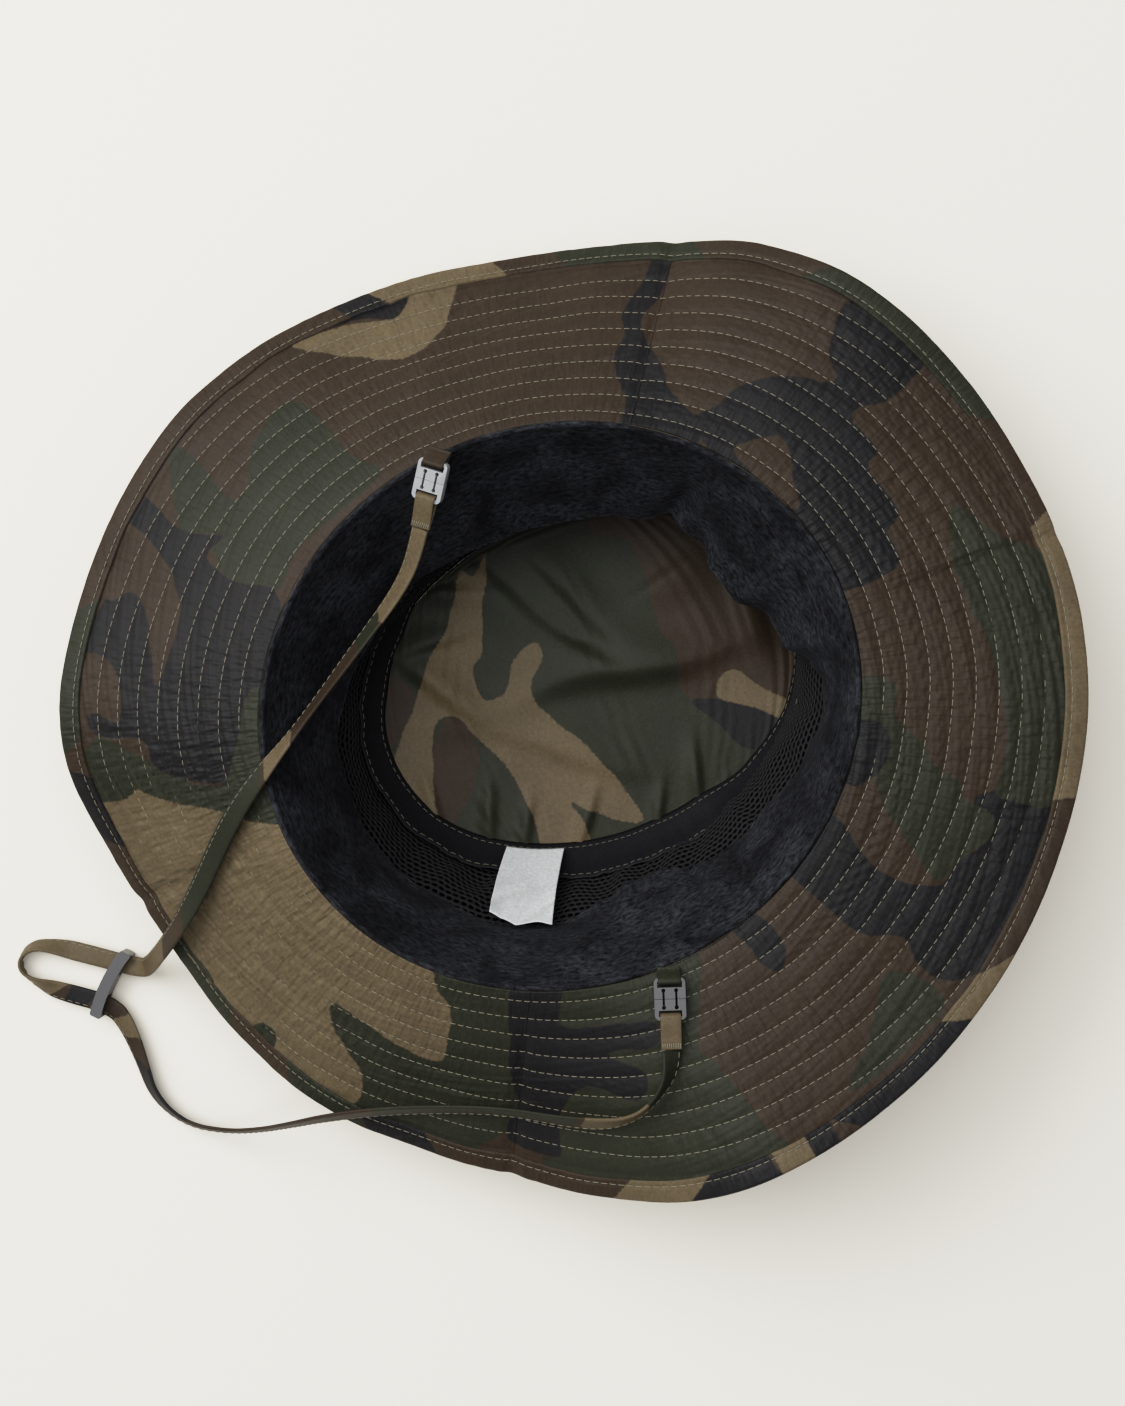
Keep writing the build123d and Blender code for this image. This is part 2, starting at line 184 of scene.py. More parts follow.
def run_along(line):
    """Distance along a line at each of its points."""
    return np.concatenate([[0], np.cumsum(np.linalg.norm(np.diff(line, axis=0), axis=1))])


def at_run(places, run, vectors):
    """Vectors of a line, read at places along its run."""
    return np.stack([np.interp(places, run, vectors[:, k]) for k in range(3)], -1)


# ------------------------------------------------------------------ shape of the hat
def polar_place(centre_x, centre_y, reach, azimuth, height):
    """Points at a reach from a centre, at azimuths in degrees."""
    turn = np.radians(azimuth)
    return np.stack([
        centre_x + reach * np.cos(turn), centre_y + reach * np.sin(turn), height,
    ], -1)


def oval_radius(half_x, half_y, azimuth):
    """Distance from an oval's centre to its edge at an azimuth in degrees."""
    turn = np.radians(azimuth)
    return 1 / np.hypot(np.cos(turn) / half_x, np.sin(turn) / half_y)


def opening_radius(azimuth):
    """Distance from the opening's centre to its seam."""
    return oval_radius(OPENING[1] / 2, OPENING[0] / 2, azimuth)


def brim_slope(azimuth):
    """Slope of the brim in degrees: a smooth closed curve through the stations."""
    places, values, i, t = stations_round(BRIM_SLOPES, azimuth)
    rises = (values[2:] - values[:-2]) / (places[2:] - places[:-2])
    rises = np.concatenate([[0], rises, [0]])
    span = places[i + 1] - places[i]
    return (
        (2 * t**3 - 3 * t**2 + 1) * values[i]
        + (t**3 - 2 * t**2 + t) * span * rises[i]
        + (3 * t**2 - 2 * t**3) * values[i + 1]
        + (t**3 - t**2) * span * rises[i + 1]
    )


def brim_sag(azimuth, along):
    """Soft waves of the whole brim, in mm, with a shallow valley at each radial seam."""
    wave = noise(azimuth / 7.2, along / 26, 12, period=50)
    valley = sum(near(azimuth, seam, 1.1) for seam in (*UNDER_SEAMS, *OUTER_SEAMS))
    return 0.7 * wave * step(along, 10, 60) - 1.1 * valley * step(along, 4, 30)


def brim_place(azimuth, along, above):
    """Points of the brim: out from the opening along its slope, and above its top face."""
    above = above + brim_sag(azimuth, along)
    slope = np.radians(brim_slope(azimuth))
    reach = opening_radius(azimuth) + along * np.cos(slope) - above * np.sin(slope)
    height = CROWN_DEPTH + along * np.sin(slope) + above * np.cos(slope)
    return polar_place(*OPENING_CENTRE, reach, azimuth, height)


def wall_place(azimuth, height, inset):
    """Points of the crown's side, drawn in by an inset, at azimuths about its own centre."""
    share = height / CROWN_DEPTH
    share = share + WALL_BULGE * share * (1 - share)
    half_x = (TIP[1] + share * (OPENING[1] - TIP[1])) / 2 - inset
    half_y = (TIP[0] + share * (OPENING[0] - TIP[0])) / 2 - inset
    reach = oval_radius(half_x, half_y, azimuth)
    drift_x, drift_y = OPENING_CENTRE - TIP_CENTRE
    return polar_place(TIP_CENTRE[0] + drift_x * share, TIP_CENTRE[1] + drift_y * share,
                       reach, azimuth, height + 0 * reach)


def row_places(azimuth):
    """Distance of the first quilting row from the opening, and the pitch of the rows."""
    swing = np.cos(np.radians(2 * (azimuth - ROW_AXIS)))
    wander = 0.35 * noise(azimuth / 9, 0.5, 3, period=40)
    return FIRST_ROW[0] + FIRST_ROW[1] * swing + wander, ROW_PITCH[0] + ROW_PITCH[1] * swing


# ------------------------------------------------------------------ meshes
def cells(index):
    """Corners of the quads between neighbouring points of an index grid."""
    quads = [index[:-1, :-1], index[:-1, 1:], index[1:, 1:], index[1:, :-1]]
    return np.stack(quads, -1).reshape(-1, 4)


def numbered(rows, columns, first=0):
    """Index grid of points stored row by row."""
    return first + np.arange(rows * columns).reshape(rows, columns)


def signed_volume(points, faces):
    """Six times the volume inside closed faces, negative where they point inwards."""
    total = 0.0
    for group in faces:
        first = points[group[:, 0]]
        for k in range(1, group.shape[1] - 1):
            second, third = points[group[:, k]], points[group[:, k + 1]]
            total += np.einsum("ij,ij->", first, np.cross(second, third))
    return total


def build(name, points, faces, wrap=None, uv=None, paint=None):
    """Mesh object from points in mm and groups of faces.  wrap sends a point to its twin.

    uv holds one place in mm for each point, and paint four numbers for each point.
    """
    places = [np.asarray(group) for group in faces]
    corners = places if wrap is None else [wrap[group] for group in places]
    if signed_volume(points - points.mean(0), corners) < 0:
        places = [group[:, ::-1] for group in places]
        corners = [group[:, ::-1] for group in corners]
    totals = np.concatenate([np.full(len(group), group.shape[1]) for group in corners])
    flat = np.concatenate([group.ravel() for group in corners])
    used, flat = np.unique(flat, return_inverse=True)
    mesh = bpy.data.meshes.new(name)
    mesh.vertices.add(len(used))
    mesh.vertices.foreach_set("co", (points[used] * MM).astype(np.float32).ravel())
    mesh.loops.add(len(flat))
    mesh.loops.foreach_set("vertex_index", flat.astype(np.int32).ravel())
    mesh.polygons.add(len(totals))
    starts = np.concatenate([[0], np.cumsum(totals)[:-1]])
    mesh.polygons.foreach_set("loop_start", starts.astype(np.int32))
    mesh.polygons.foreach_set("use_smooth", np.ones(len(totals), bool))
    if uv is not None:
        layer = mesh.uv_layers.new(name="cloth")
        spread = uv[np.concatenate([group.ravel() for group in places])] * MM
        layer.data.foreach_set("uv", spread.astype(np.float32).ravel())
    if paint is not None:
        layer = mesh.attributes.new("print", "FLOAT_COLOR", "POINT")
        layer.data.foreach_set("color", paint[used].astype(np.float32).ravel())
    mesh.update(calc_edges=True)
    return placed(name, mesh)


def back_rows(rows):
    """Rows of a fine grid that its coarser back follows."""
    return np.linspace(0, rows - 1, min(rows, 16)).round().astype(int)


def both_faces(grid_values, kept=np.s_[:]):
    """Values of a grid's points in one list, with its kept rows once more for its back."""
    if grid_values is None:
        return None
    width = grid_values.shape[-1]
    back = grid_values[kept].reshape(-1, width)
    return np.concatenate([grid_values.reshape(-1, width), back])


def cloth_shell(name, top, bottom, closed, uv=None, paint=None):
    """Closed layer of cloth: a fine top grid, a bottom grid of fewer rows, and its edges."""
    rows, columns = top.shape[:2]
    points = np.concatenate([top.reshape(-1, 3), bottom.reshape(-1, 3)])
    upper = numbered(rows, columns)
    lower = numbered(len(bottom), columns, rows * columns)
    faces = [
        cells(upper),
        cells(lower)[:, ::-1],
        cells(np.stack([lower[0], upper[0]])),
        cells(np.stack([upper[-1], lower[-1]])),
    ]
    wrap = np.arange(len(points))
    if closed:
        wrap[upper[:, -1]] = upper[:, 0]
        wrap[lower[:, -1]] = lower[:, 0]
    else:
        faces.append(np.concatenate([upper[:, 0], lower[::-1, 0]])[None, ::-1])
        faces.append(np.concatenate([upper[:, -1], lower[::-1, -1]])[None, :])
    kept = back_rows(rows)
    return build(name, points, faces, wrap, both_faces(uv, kept), both_faces(paint, kept))


def full_shell(name, top, bottom, uv=None, paint=None):
    """Closed layer from two open grids of the same size."""
    rows, columns = top.shape[:2]
    upper = numbered(rows, columns)
    lower = numbered(rows, columns, rows * columns)
    faces = [cells(upper), cells(lower)[:, ::-1]]
    for edge in (np.s_[0], np.s_[-1], np.s_[:, 0], np.s_[:, -1]):
        strip = cells(np.stack([upper[edge], lower[edge]]))
        faces.append(strip if edge in (np.s_[-1], np.s_[:, 0]) else strip[:, ::-1])
    points = np.concatenate([top.reshape(-1, 3), bottom.reshape(-1, 3)])
    return build(name, points, faces, None, both_faces(uv), both_faces(paint))


def tube(name, rings, closed, uv=None, paint=None):
    """Closed skin through section rings; closed joins the last ring to the first."""
    index = numbered(*rings.shape[:2])
    wrap = np.arange(index.size)
    wrap[index[:, -1]] = index[:, 0]
    faces = [cells(index)]
    if closed:
        wrap[index[-1]] = wrap[index[0]]
    else:
        faces.append(index[0, :-1][None, ::-1])
        faces.append(index[-1, :-1][None, :])
    flat_uv = None if uv is None else uv.reshape(-1, 2)
    flat_paint = None if paint is None else paint.reshape(-1, 4)
    return build(name, rings.reshape(-1, 3), faces, wrap, flat_uv, flat_paint)


def stitches(name, starts, ends, up, radius=THREAD_RADIUS):
    """Many stitches as one mesh: each is a bowed thread with five-sided rings.

    A stitch rises from one needle hole, lies on the cloth and dips into the next.
    """
    along = ends - starts
    side = unit(np.cross(up, along))
    lift = unit(np.cross(along, side))
    shares = np.array([0.0, 0.12, 0.5, 0.88, 1.0])
    swell = np.array([0.45, 0.95, 1.0, 0.95, 0.45]) * radius
    rise = np.array([-0.9, 0.25, 0.6, 0.25, -0.9]) * radius
    turns = np.radians(np.arange(5) * 72 + 90)
    middle = starts[:, None, :] + along[:, None, :] * shares[None, :, None]
    middle = middle + lift[:, None, :] * rise[None, :, None]
    ring = (
        side[:, None, None, :] * np.cos(turns)[None, None, :, None]
        + lift[:, None, None, :] * np.sin(turns)[None, None, :, None]
    ) * swell[None, :, None, None]
    points = (middle[:, :, None, :] + ring).reshape(-1, 3)
    one = numbered(5, 5)
    one = np.hstack([one, one[:, :1]])
    caps = np.stack([one[0, 4::-1], one[4, :5]])
    shift = (one.max() + 1) * np.arange(len(starts))[:, None, None]
    faces = [(cells(one)[None] + shift).reshape(-1, 4), (caps[None] + shift).reshape(-1, 5)]
    return build(name, points, faces)


def joined(rows):
    """Starts, ends and up directions of the stitches of several rows, each as one list."""
    return [np.concatenate(part) for part in zip(*rows)]


# ------------------------------------------------------------------ printed camouflage
GREEN, BLACK, TAN, BROWN = 0, 1, 2, 3
PRINT_LIMIT = 8.0


def smooth_outline(corners):
    """Closed outline through its corners, rounded as a Catmull-Rom curve with four steps."""
    p = np.asarray(corners, float)
    before, after, beyond = np.roll(p, 1, 0), np.roll(p, -1, 0), np.roll(p, -2, 0)
    t = (np.arange(4) / 4)[None, :, None]
    a, b, c, d = (q[:, None, :] for q in (before, p, after, beyond))
    curve = 0.5 * (
        2 * b + (c - a) * t + (2 * a - 5 * b + 4 * c - d) * t**2
        + (3 * b - 3 * c + d - a) * t**3
    )
    return curve.reshape(-1, 2)


def inside_depth(plan, outline):
    """Distance in mm from each place to an outline, positive inside it."""
    depth = np.full(plan.shape[:-1], -PRINT_LIMIT)
    low, high = outline.min(0) - PRINT_LIMIT, outline.max(0) + PRINT_LIMIT
    close = ((plan > low) & (plan < high)).all(-1)
    spot = plan[close]
    nearest = np.full(len(spot), np.inf)
    crossings = np.zeros(len(spot), int)
    for start, end in zip(outline, np.roll(outline, -1, 0)):
        edge = end - start
        offset = spot - start
        share = np.clip(offset @ edge / max(edge @ edge, 1e-9), 0, 1)
        nearest = np.minimum(nearest, np.hypot(*(offset - share[:, None] * edge).T))
        spans = (start[1] > spot[:, 1]) != (end[1] > spot[:, 1])
        rise = edge[1] if edge[1] else 1.0
        crossings += spans & (spot[:, 0] < start[0] + edge[0] * offset[:, 1] / rise)
    depth[close] = np.where(crossings % 2 == 1, nearest, -nearest)
    return depth


def brown_ground(shape):
    """Depths of green, black and tan on cloth that is brown all over."""
    return np.full((*shape, 3), -PRINT_LIMIT)


def cover(fields, colour, depth):
    """Lays one colour over the print where depth is positive."""
    for other in (GREEN, BLACK, TAN):
        if other == colour:
            fields[..., other] = np.maximum(fields[..., other], depth)
        else:
            fields[..., other] = np.minimum(fields[..., other], -depth)


def printed(plan, shapes, wobble_seed):
    """Depths of the three colours at each place, from shapes laid one on another."""
    fields = brown_ground(plan.shape[:-1])
    wobble = 0.7 * noise(plan[..., 0] / 7, plan[..., 1] / 7, wobble_seed)
    for colour, corners in shapes:
        cover(fields, colour, inside_depth(plan, smooth_outline(corners)) + wobble)
    return fields


def scattered_print(x, y, seed):
    """Depths of the three colours for cloth with no drawn shapes, from long smooth noise."""
    fields = brown_ground(x.shape)
    layers = ((GREEN, 46, 24, -0.02), (TAN, 34, 15, 0.33), (BLACK, 40, 15, 0.2))
    for number, (colour, long, short, floor) in enumerate(layers):
        bend = 9 * noise(x / 30, y / 30, seed + 40 + number)
        level = noise(x / long, (y + bend) / short, seed + number)
        level = level + 0.25 * noise(x / 11, y / 8, seed + 20 + number)
        cover(fields, colour, (level - floor) * 14)
    return fields


def banded(place, across, bands, wobble=0.0, steepness=1.0, lap=None):
    """Depths of the three colours for bands with slanted ends, each laid on the last.

    A band has a colour, its start and end, and a slant.  Places come round after a lap.
    """
    fields = brown_ground(place.shape)
    for colour, start, end, slant in bands:
        offset = place - (start + end) / 2
        if lap:
            offset = (offset + lap / 2) % lap - lap / 2
        depth = (end - start) / 2 - abs(offset - slant * across)
        cover(fields, colour, depth * steepness + wobble)
    return fields


def with_pucker(fields, strength):
    """Print held within its limits, with the strength of the puckers as fourth number."""
    strength = np.broadcast_to(strength, fields.shape[:-1])[..., None]
    return np.concatenate([np.clip(fields, -PRINT_LIMIT, PRINT_LIMIT), strength], -1)


# Shapes of the print on the quilted face: azimuth in degrees, distance from the opening.
BRIM_SHAPES = (
    (GREEN, [(213, 70), (212, 60), (214, 40), (211, 37), (205, 47), (198, 50), (196, 40),
             (196, 18), (194, 4), (214, 6), (224, 5), (225, 24), (222, 35), (221, 50)]),
    (BLACK, [(219, 70), (221, 50), (219, 33), (223, 35), (225, 22), (225, 2), (246, 0),
             (258, 12), (258, 27), (255, 41), (251, 44), (250, 59), (248, 66), (239, 72),
             (231, 67), (223, 73)]),
    (BROWN, [(223, 73), (224, 58), (228, 43), (232, 37), (238, 36), (243, 40), (236, 46),
             (231, 57), (233, 66), (228, 73)]),
    (BROWN, [(240, 73), (241, 57), (248, 53), (247, 62), (247, 70)]),
    (GREEN, [(250, 63), (251, 54), (254, 43), (256, 38), (259, 17), (251, 8), (243, 4),
             (243, -4), (253, -4), (274, -4), (266, 12), (262, 31), (259, 50), (258, 72),
             (254, 74)]),
    (GREEN, [(297, 34), (308, -6), (327, -5), (328, 29), (330, 34), (330, 50), (327, 64),
             (323, 74), (315, 74), (307, 74), (302, 59)]),
    (GREEN, [(336, -5), (349, -5), (365, -2), (360, 20), (358, 29), (360, 37), (361, 47),
             (362, 60), (364, 74), (357, 76), (343, 76), (334, 70), (336, 50), (338, 35),
             (336, 26)]),
    (BLACK, [(326, -5), (336, -5), (336, 12), (343, 14), (352, 15), (352, 23), (344, 24),
             (349, 32), (347, 41), (340, 36), (336, 48), (336, 64), (330, 64), (329, 56),
             (330, 47), (328, 29)]),
    (GREEN, [(25, 46), (28, 48), (29, 57), (28, 67), (20, 67), (13, 65), (19, 56)]),
    (BLACK, [(31, -6), (44, -2), (41, 12), (39, 22), (39, 33), (41, 43), (45, 46), (49, 52),
             (54, 44), (57, 72), (50, 74), (40, 72), (32, 67), (30, 52), (32, 42), (29, 30),
             (29, 15)]),
    (BLACK, [(13, -3), (18, -3), (20, 7), (19, 16), (16, 20), (14, 15), (14, 8)]),
    (GREEN, [(93, 48), (87, 58), (84, 69), (78, 75), (57, 75), (54, 52), (57, 49), (60, 50),
             (67, 48), (75, 43), (81, 40), (88, 40)]),
    (GREEN, [(71, -3), (70, 11), (64, 12), (60, 23), (57, 26), (55, 37), (53, 40), (52, 51),
             (49, 52), (45, 46), (41, 42), (44, 30), (49, 15), (54, 9), (59, 10), (63, -3)]),
    (BLACK, [(63, -4), (63, 7), (59, 11), (54, 9), (51, 2), (56, -4)]),
    (BLACK, [(132, 5), (129, 13), (127, 24), (123, 33), (116, 43), (119, 50), (120, 72),
             (110, 74), (109, 53), (111, 38), (105, 36), (104, 30), (96, 30), (94, 23),
             (90, 23), (88, 17), (89, -4), (98, -4), (112, -2), (124, 0)]),
    (BROWN, [(122, 4), (120, 11), (117, 16), (114, 14), (111, 9), (106, 2), (114, 0)]),
    (BLACK, [(144, 73), (142, 70), (142, 57), (144, 44), (143, 37), (139, 23), (136, 15),
             (129, 5), (129, -4), (143, -4), (144, 10), (147, 26), (146, 37), (147, 46),
             (145, 59)]),
    (TAN, [(193, 70), (189, 58), (182, 45), (178, 44), (174, 49), (172, 55), (170, 73),
           (175, 74), (179, 63), (186, 68)]),
    (BLACK, [(188, 69), (183, 67), (179, 62), (176, 72), (181, 76), (187, 74)]),
    (TAN, [(259, 74), (258, 59), (257, 52), (259, 46), (262, 29), (266, 11), (272, -6),
           (283, -10), (297, -8), (308, -6), (312, 5), (316, 14), (318, 34), (315, 37),
           (306, 34), (299, 33), (300, 42), (304, 48), (308, 56), (308, 70), (298, 74),
           (280, 74), (268, 74)]),
    (GREEN, [(292.4, 72), (292.8, 65), (294.4, 62.5), (295.8, 66), (296, 72)]),
)
# Print of the binding: colour from one azimuth to the next, with a slant in degrees.
BINDING_BANDS = (
    (GREEN, 235, 252, 2), (BLACK, 181, 186, 2), (TAN, 165, 181, 2), (GREEN, 140, 157, 2),
    (GREEN, 99, 124, -3), (TAN, 56, 88, 1), (TAN, 29, 38, 6), (BLACK, 12, 29, 3),
    (BLACK, 5.5, 9, 0), (TAN, 1.5, 5.5, 0), (BLACK, -9, 1.5, 1), (TAN, -18, -9, -3),
    (GREEN, 301, 312, 3), (GREEN, 279, 291, 3), (BLACK, 253, 262, -2), (BLACK, 312, 321, 3),
)
# Print of the tip's lining, in mm from the origin.
TIP_SHAPES = (
    (GREEN, [(-150, -150), (150, -150), (150, 150), (-150, 150)]),
    (BROWN, [(-58, 30), (-47, 41), (-15, 38), (-6, 40), (11, 37), (20, 50), (33, 76),
             (-4, 96), (-50, 80), (-75, 45)]),
    (BLACK, [(13, 38), (20, 53), (34, 76), (44, 64), (37, 50), (25, 43)]),
    (BROWN, [(-45, -69), (-39, -57), (-29, -53), (-16, -60), (-20, -75)]),
    (TAN, [(-62, -20), (-59, -15), (-69, -6), (-44, -19), (-33, -24), (-29, -30),
           (-17, -30), (-17, -22), (-26, -15), (-29, -5), (-22, -5), (-14, -14), (2, -9),
           (13, -3), (35, 3), (46, 4), (38, -8), (29, -17), (43, -15), (56, -21),
           (50, -36), (33, -32), (7, -33), (-17, -45), (-10, -54), (6, -58), (19, -63),
           (6, -70), (-9, -70), (-27, -53), (-37, -44), (-46, -32)]),
    (BROWN, [(-17, -45), (-11, -40), (2, -41), (14, -51), (21, -62), (9, -62), (-3, -57),
             (-12, -52)]),
    (TAN, [(9, 53), (10, 58), (17, 62), (30, 72), (35, 68), (25, 58), (18, 49), (14, 48)]),
)


def brim_plan(azimuth, along):
    """Flat place of a spot on the brim, as if the brim lay level."""
    reach, turn = opening_radius(azimuth) + along, np.radians(azimuth)
    return np.stack([reach * np.cos(turn), reach * np.sin(turn)], -1)


def brim_print(azimuth, along):
    """Printed colours of the quilted face."""
    shapes = [
        (colour, brim_plan(*np.array(corners, float).T)) for colour, corners in BRIM_SHAPES
    ]
    return printed(brim_plan(azimuth, along), shapes, 5)


def binding_print(azimuth, along):
    """Printed colours of the binding, in bands with slanted ends."""
    wobble = noise(azimuth / 3, along / 5, 8, period=120)
    across = (along - BRIM_WIDTH) / BINDING_WIDTH
    return banded(azimuth, across, BINDING_BANDS, wobble, 3.0, 360)


# ------------------------------------------------------------------ materials
def linear(colour, share=1.0):
    """Linear colour of an sRGB hex value, darkened or lightened by a share."""
    parts = [int(colour[i : i + 2], 16) / 255 for i in (0, 2, 4)]
    parts = [c / 12.92 if c <= 0.04045 else ((c + 0.055) / 1.055) ** 2.4 for c in parts]
    return (*(c * share for c in parts), 1)


def feed(tree, socket, value):
    """Gives a socket its value, or links it to the socket that feeds it."""
    if isinstance(value, bpy.types.NodeSocket):
        tree.links.new(value, socket)
    else:
        socket.default_value = value


def add_node(tree, kind, inputs=(), **settings):
    """Adds a shader node with its settings and inputs, and gives its outputs."""
    node = tree.nodes.new("ShaderNode" + kind)
    for key, value in settings.items():
        setattr(node, key, value)
    for key, value in dict(inputs).items():
        feed(tree, node.inputs[key], value)
    return node.outputs


def speckle(tree, place, scale, detail, **inputs):
    """Noise from 0 to 1, with its scale in cells to the metre."""
    inputs = {"Vector": place, "Scale": scale, "Detail": detail, **inputs}
    return add_node(tree, "TexNoise", inputs)["Fac"]


def stretched(tree, place, scale):
    """Place with its own scale along each direction."""
    return add_node(tree, "Mapping", {"Vector": place, "Scale": scale})[0]


def remap(tree, value, low, high, least=0.0, most=1.0):
    """Value taken from one span to another, and held at its ends."""
    return add_node(tree, "MapRange", {"Value": value, "From Min": low, "From Max": high,
                    "To Min": least, "To Max": most})[0]


def number(tree, operation, *values):
    """Result of an operation on numbers."""
    return add_node(tree, "Math", enumerate(values), operation=operation)[0]


def blended(tree, share, first, second):
    """Colour between two colours."""
    inputs = {"Factor": share, 6: first, 7: second}
    return add_node(tree, "Mix", inputs, data_type="RGBA")[2]


def scaled(tree, colour, share):
    """Colour made darker or lighter by a share."""
    return add_node(tree, "VectorMath", {0: colour, "Scale": share}, operation="SCALE")[0]


def bump(tree, height, strength, distance, **inputs):
    """Normal that leans with a height."""
    inputs = {"Height": height, "Strength": strength, "Distance": distance, **inputs}
    return add_node(tree, "Bump", inputs)[0]


def new_material(name):
    """New material with a principled shader, and its node tree."""
    material = bpy.data.materials.new(name)
    material.use_nodes = True
    return material, material.node_tree


def set_shader(tree, **values):
    """Sets or feeds the shader's sockets, with underscores for spaces in their names."""
    for key, value in values.items():
        feed(tree, tree.nodes["Principled BSDF"].inputs[key.replace("_", " ")], value)


CAMO_COLOURS = {"green": "272920", "black": "1A191B", "tan": "564C3B"}
CAMO_GROUND = "312820"


def camo_cotton(name, pucker_scale, haze):
    """Printed cotton poplin: matt, faintly hazy at a glance, with fine radial puckers.

    The print is dyed in, so its edges are crisp to half a thread.  The yarn is drawn at
    0.5 mm, twice as coarse as the real one, so that it shows.
    """
    material, tree = new_material(name)
    space = add_node(tree, "TexCoord")
    field = add_node(tree, "Attribute", attribute_name="print")
    split = add_node(tree, "SeparateXYZ", {"Vector": field["Vector"]})
    grain = speckle(tree, space["Object"], 900.0, 2.0)
    patch = speckle(tree, space["Object"], 60.0, 3.0)
    fray = number(tree, "SUBTRACT", grain, 0.5)
    colour = linear(CAMO_GROUND)
    for socket, key in (("X", "green"), ("Y", "black"), ("Z", "tan")):
        frayed = number(tree, "MULTIPLY_ADD", fray, 1.2, split[socket])
        share = remap(tree, frayed, -0.3, 0.3)
        colour = blended(tree, share, colour, linear(CAMO_COLOURS[key]))
    fade = remap(tree, patch, 0.3, 0.7, 0.9, 1.1)
    yarn = remap(tree, grain, 0.3, 0.7, 0.88, 1.12)
    tinted = scaled(tree, colour, number(tree, "MULTIPLY", fade, yarn))
    ridges = speckle(tree, stretched(tree, space["UV"], (520.0, 110.0, 1.0)), 1.0, 1.0)
    strength = number(tree, "MULTIPLY", field["Alpha"], pucker_scale)
    pucker = bump(tree, ridges, strength, 0.0012)
    weave = bump(tree, grain, 0.35, 0.0003, Normal=pucker)
    set_shader(tree, Base_Color=tinted, Normal=weave, Roughness=0.55, Sheen_Weight=haze,
               Sheen_Roughness=0.5, Sheen_Tint=linear("8A8175"), Specular_IOR_Level=0.18)
    return material


def plain_cloth(name, colour, scale, depth, haze, roughness=0.85):
    """Dyed cloth of one colour, with its threads as noise of a given scale."""
    material, tree = new_material(name)
    threads = speckle(tree, add_node(tree, "TexCoord")["Object"], scale, 3.0)
    mix = blended(tree, threads, linear(colour, 0.65), linear(colour, 1.35))
    set_shader(tree, Base_Color=mix, Normal=bump(tree, threads, 0.6, depth * MM),
               Roughness=roughness, Sheen_Weight=haze, Sheen_Roughness=0.5,
               Sheen_Tint=linear("606063"), Specular_IOR_Level=0.12)
    return material


def brushed_fleece():
    """Brushed polyester fleece: near black, its pile in short streaks of 1 to 2 mm.

    The streaks run round the band, and the pile leans both ways in patches of 10 to
    20 mm; these patches are painted into the colour: lighter as painted sheen where the
    pile would catch the light, darker as painted shade where it would lie dark.
    """
    material, tree = new_material("brushed_fleece")
    space = add_node(tree, "TexCoord")
    combed = stretched(tree, space["UV"], (330.0, 760.0, 1.0))
    streaks = speckle(tree, combed, 1.0, 4.0, Roughness=0.72)
    lean = speckle(tree, space["Object"], 60.0, 4.0, Distortion=0.6)
    share = remap(tree, streaks, 0.34, 0.68)
    mix = blended(tree, share, linear("060607"), linear("323338"))
    # Painted sheen and painted shade: the colour is made lighter or darker in patches of the
    # pile.
    tinted = scaled(tree, mix, remap(tree, lean, 0.35, 0.65, 0.55, 1.5))
    set_shader(tree, Base_Color=tinted, Normal=bump(tree, streaks, 0.7, 0.0004),
               Roughness=0.9, Sheen_Weight=0.11, Sheen_Roughness=0.5,
               Sheen_Tint=linear("707176"), Specular_IOR_Level=0.08)
    return material


def moulded_acetal(name, colour):
    """Injection-moulded acetal: smooth and waxy, with a faint grain from the mould."""
    material, tree = new_material(name)
    place = add_node(tree, "TexCoord")["Object"]
    grain = speckle(tree, place, 1400.0, 2.0)
    wear = speckle(tree, place, 250.0, 2.0)
    mix = blended(tree, wear, linear(colour, 0.9), linear(colour, 1.15))
    set_shader(tree, Base_Color=mix, Normal=bump(tree, grain, 0.15, 0.0001),
               Roughness=remap(tree, wear, 0.0, 1.0, 0.28, 0.42), IOR=1.48)
    return material


quilted_cotton = camo_cotton("printed_cotton_quilted", 0.7, 0.06)
flat_cotton = camo_cotton("printed_cotton_flat", 0.25, 0.03)
# Polyester sewing thread in khaki, a little thicker than a real one.
thread = plain_cloth("polyester_thread", "7A7668", 2500.0, 0.05, 0.1)
dark_thread = plain_cloth("polyester_thread_dark", "625F54", 2500.0, 0.05, 0.05)
fleece = brushed_fleece()
# Knitted polyester net and woven nylon tape: black, with a slight shine on the yarn.
net = plain_cloth("knitted_net", "252527", 1500.0, 0.1, 0.05, 0.6)
tape = plain_cloth("woven_nylon_tape", "1A1A1D", 900.0, 0.15, 0.03, 0.5)
black_cloth = plain_cloth("black_cloth_reverse", "070708", 900.0, 0.1, 0.0)
# Woven interlining, stiffened with resin: pale and dry.
buckram = plain_cloth("stiffened_interlining", "C9C3B4", 700.0, 0.2, 0.0)
# Satin-woven polyester label, unprinted.
satin = plain_cloth("satin_label", "BDBFC1", 900.0, 0.05, 0.0, 0.5)
grey_acetal = moulded_acetal("moulded_acetal_grey", "3F3F42")
# The same acetal as the grey clip, made paler: a painted reflection of the light the left
# clip's faces catch.
painted_reflection_acetal = moulded_acetal("moulded_acetal_painted_reflection", "8E8F92")
dark_acetal = moulded_acetal("moulded_acetal_dark", "353538")


def settle(piece, body, slot, material, *nodes):
    """Puts a finished piece on its body, with its finish, in place of the CAD nodes."""
    piece.data.materials.clear()
    piece.data.materials.append(material)
    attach(piece, body)
    if nodes:
        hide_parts(*nodes)
    return piece


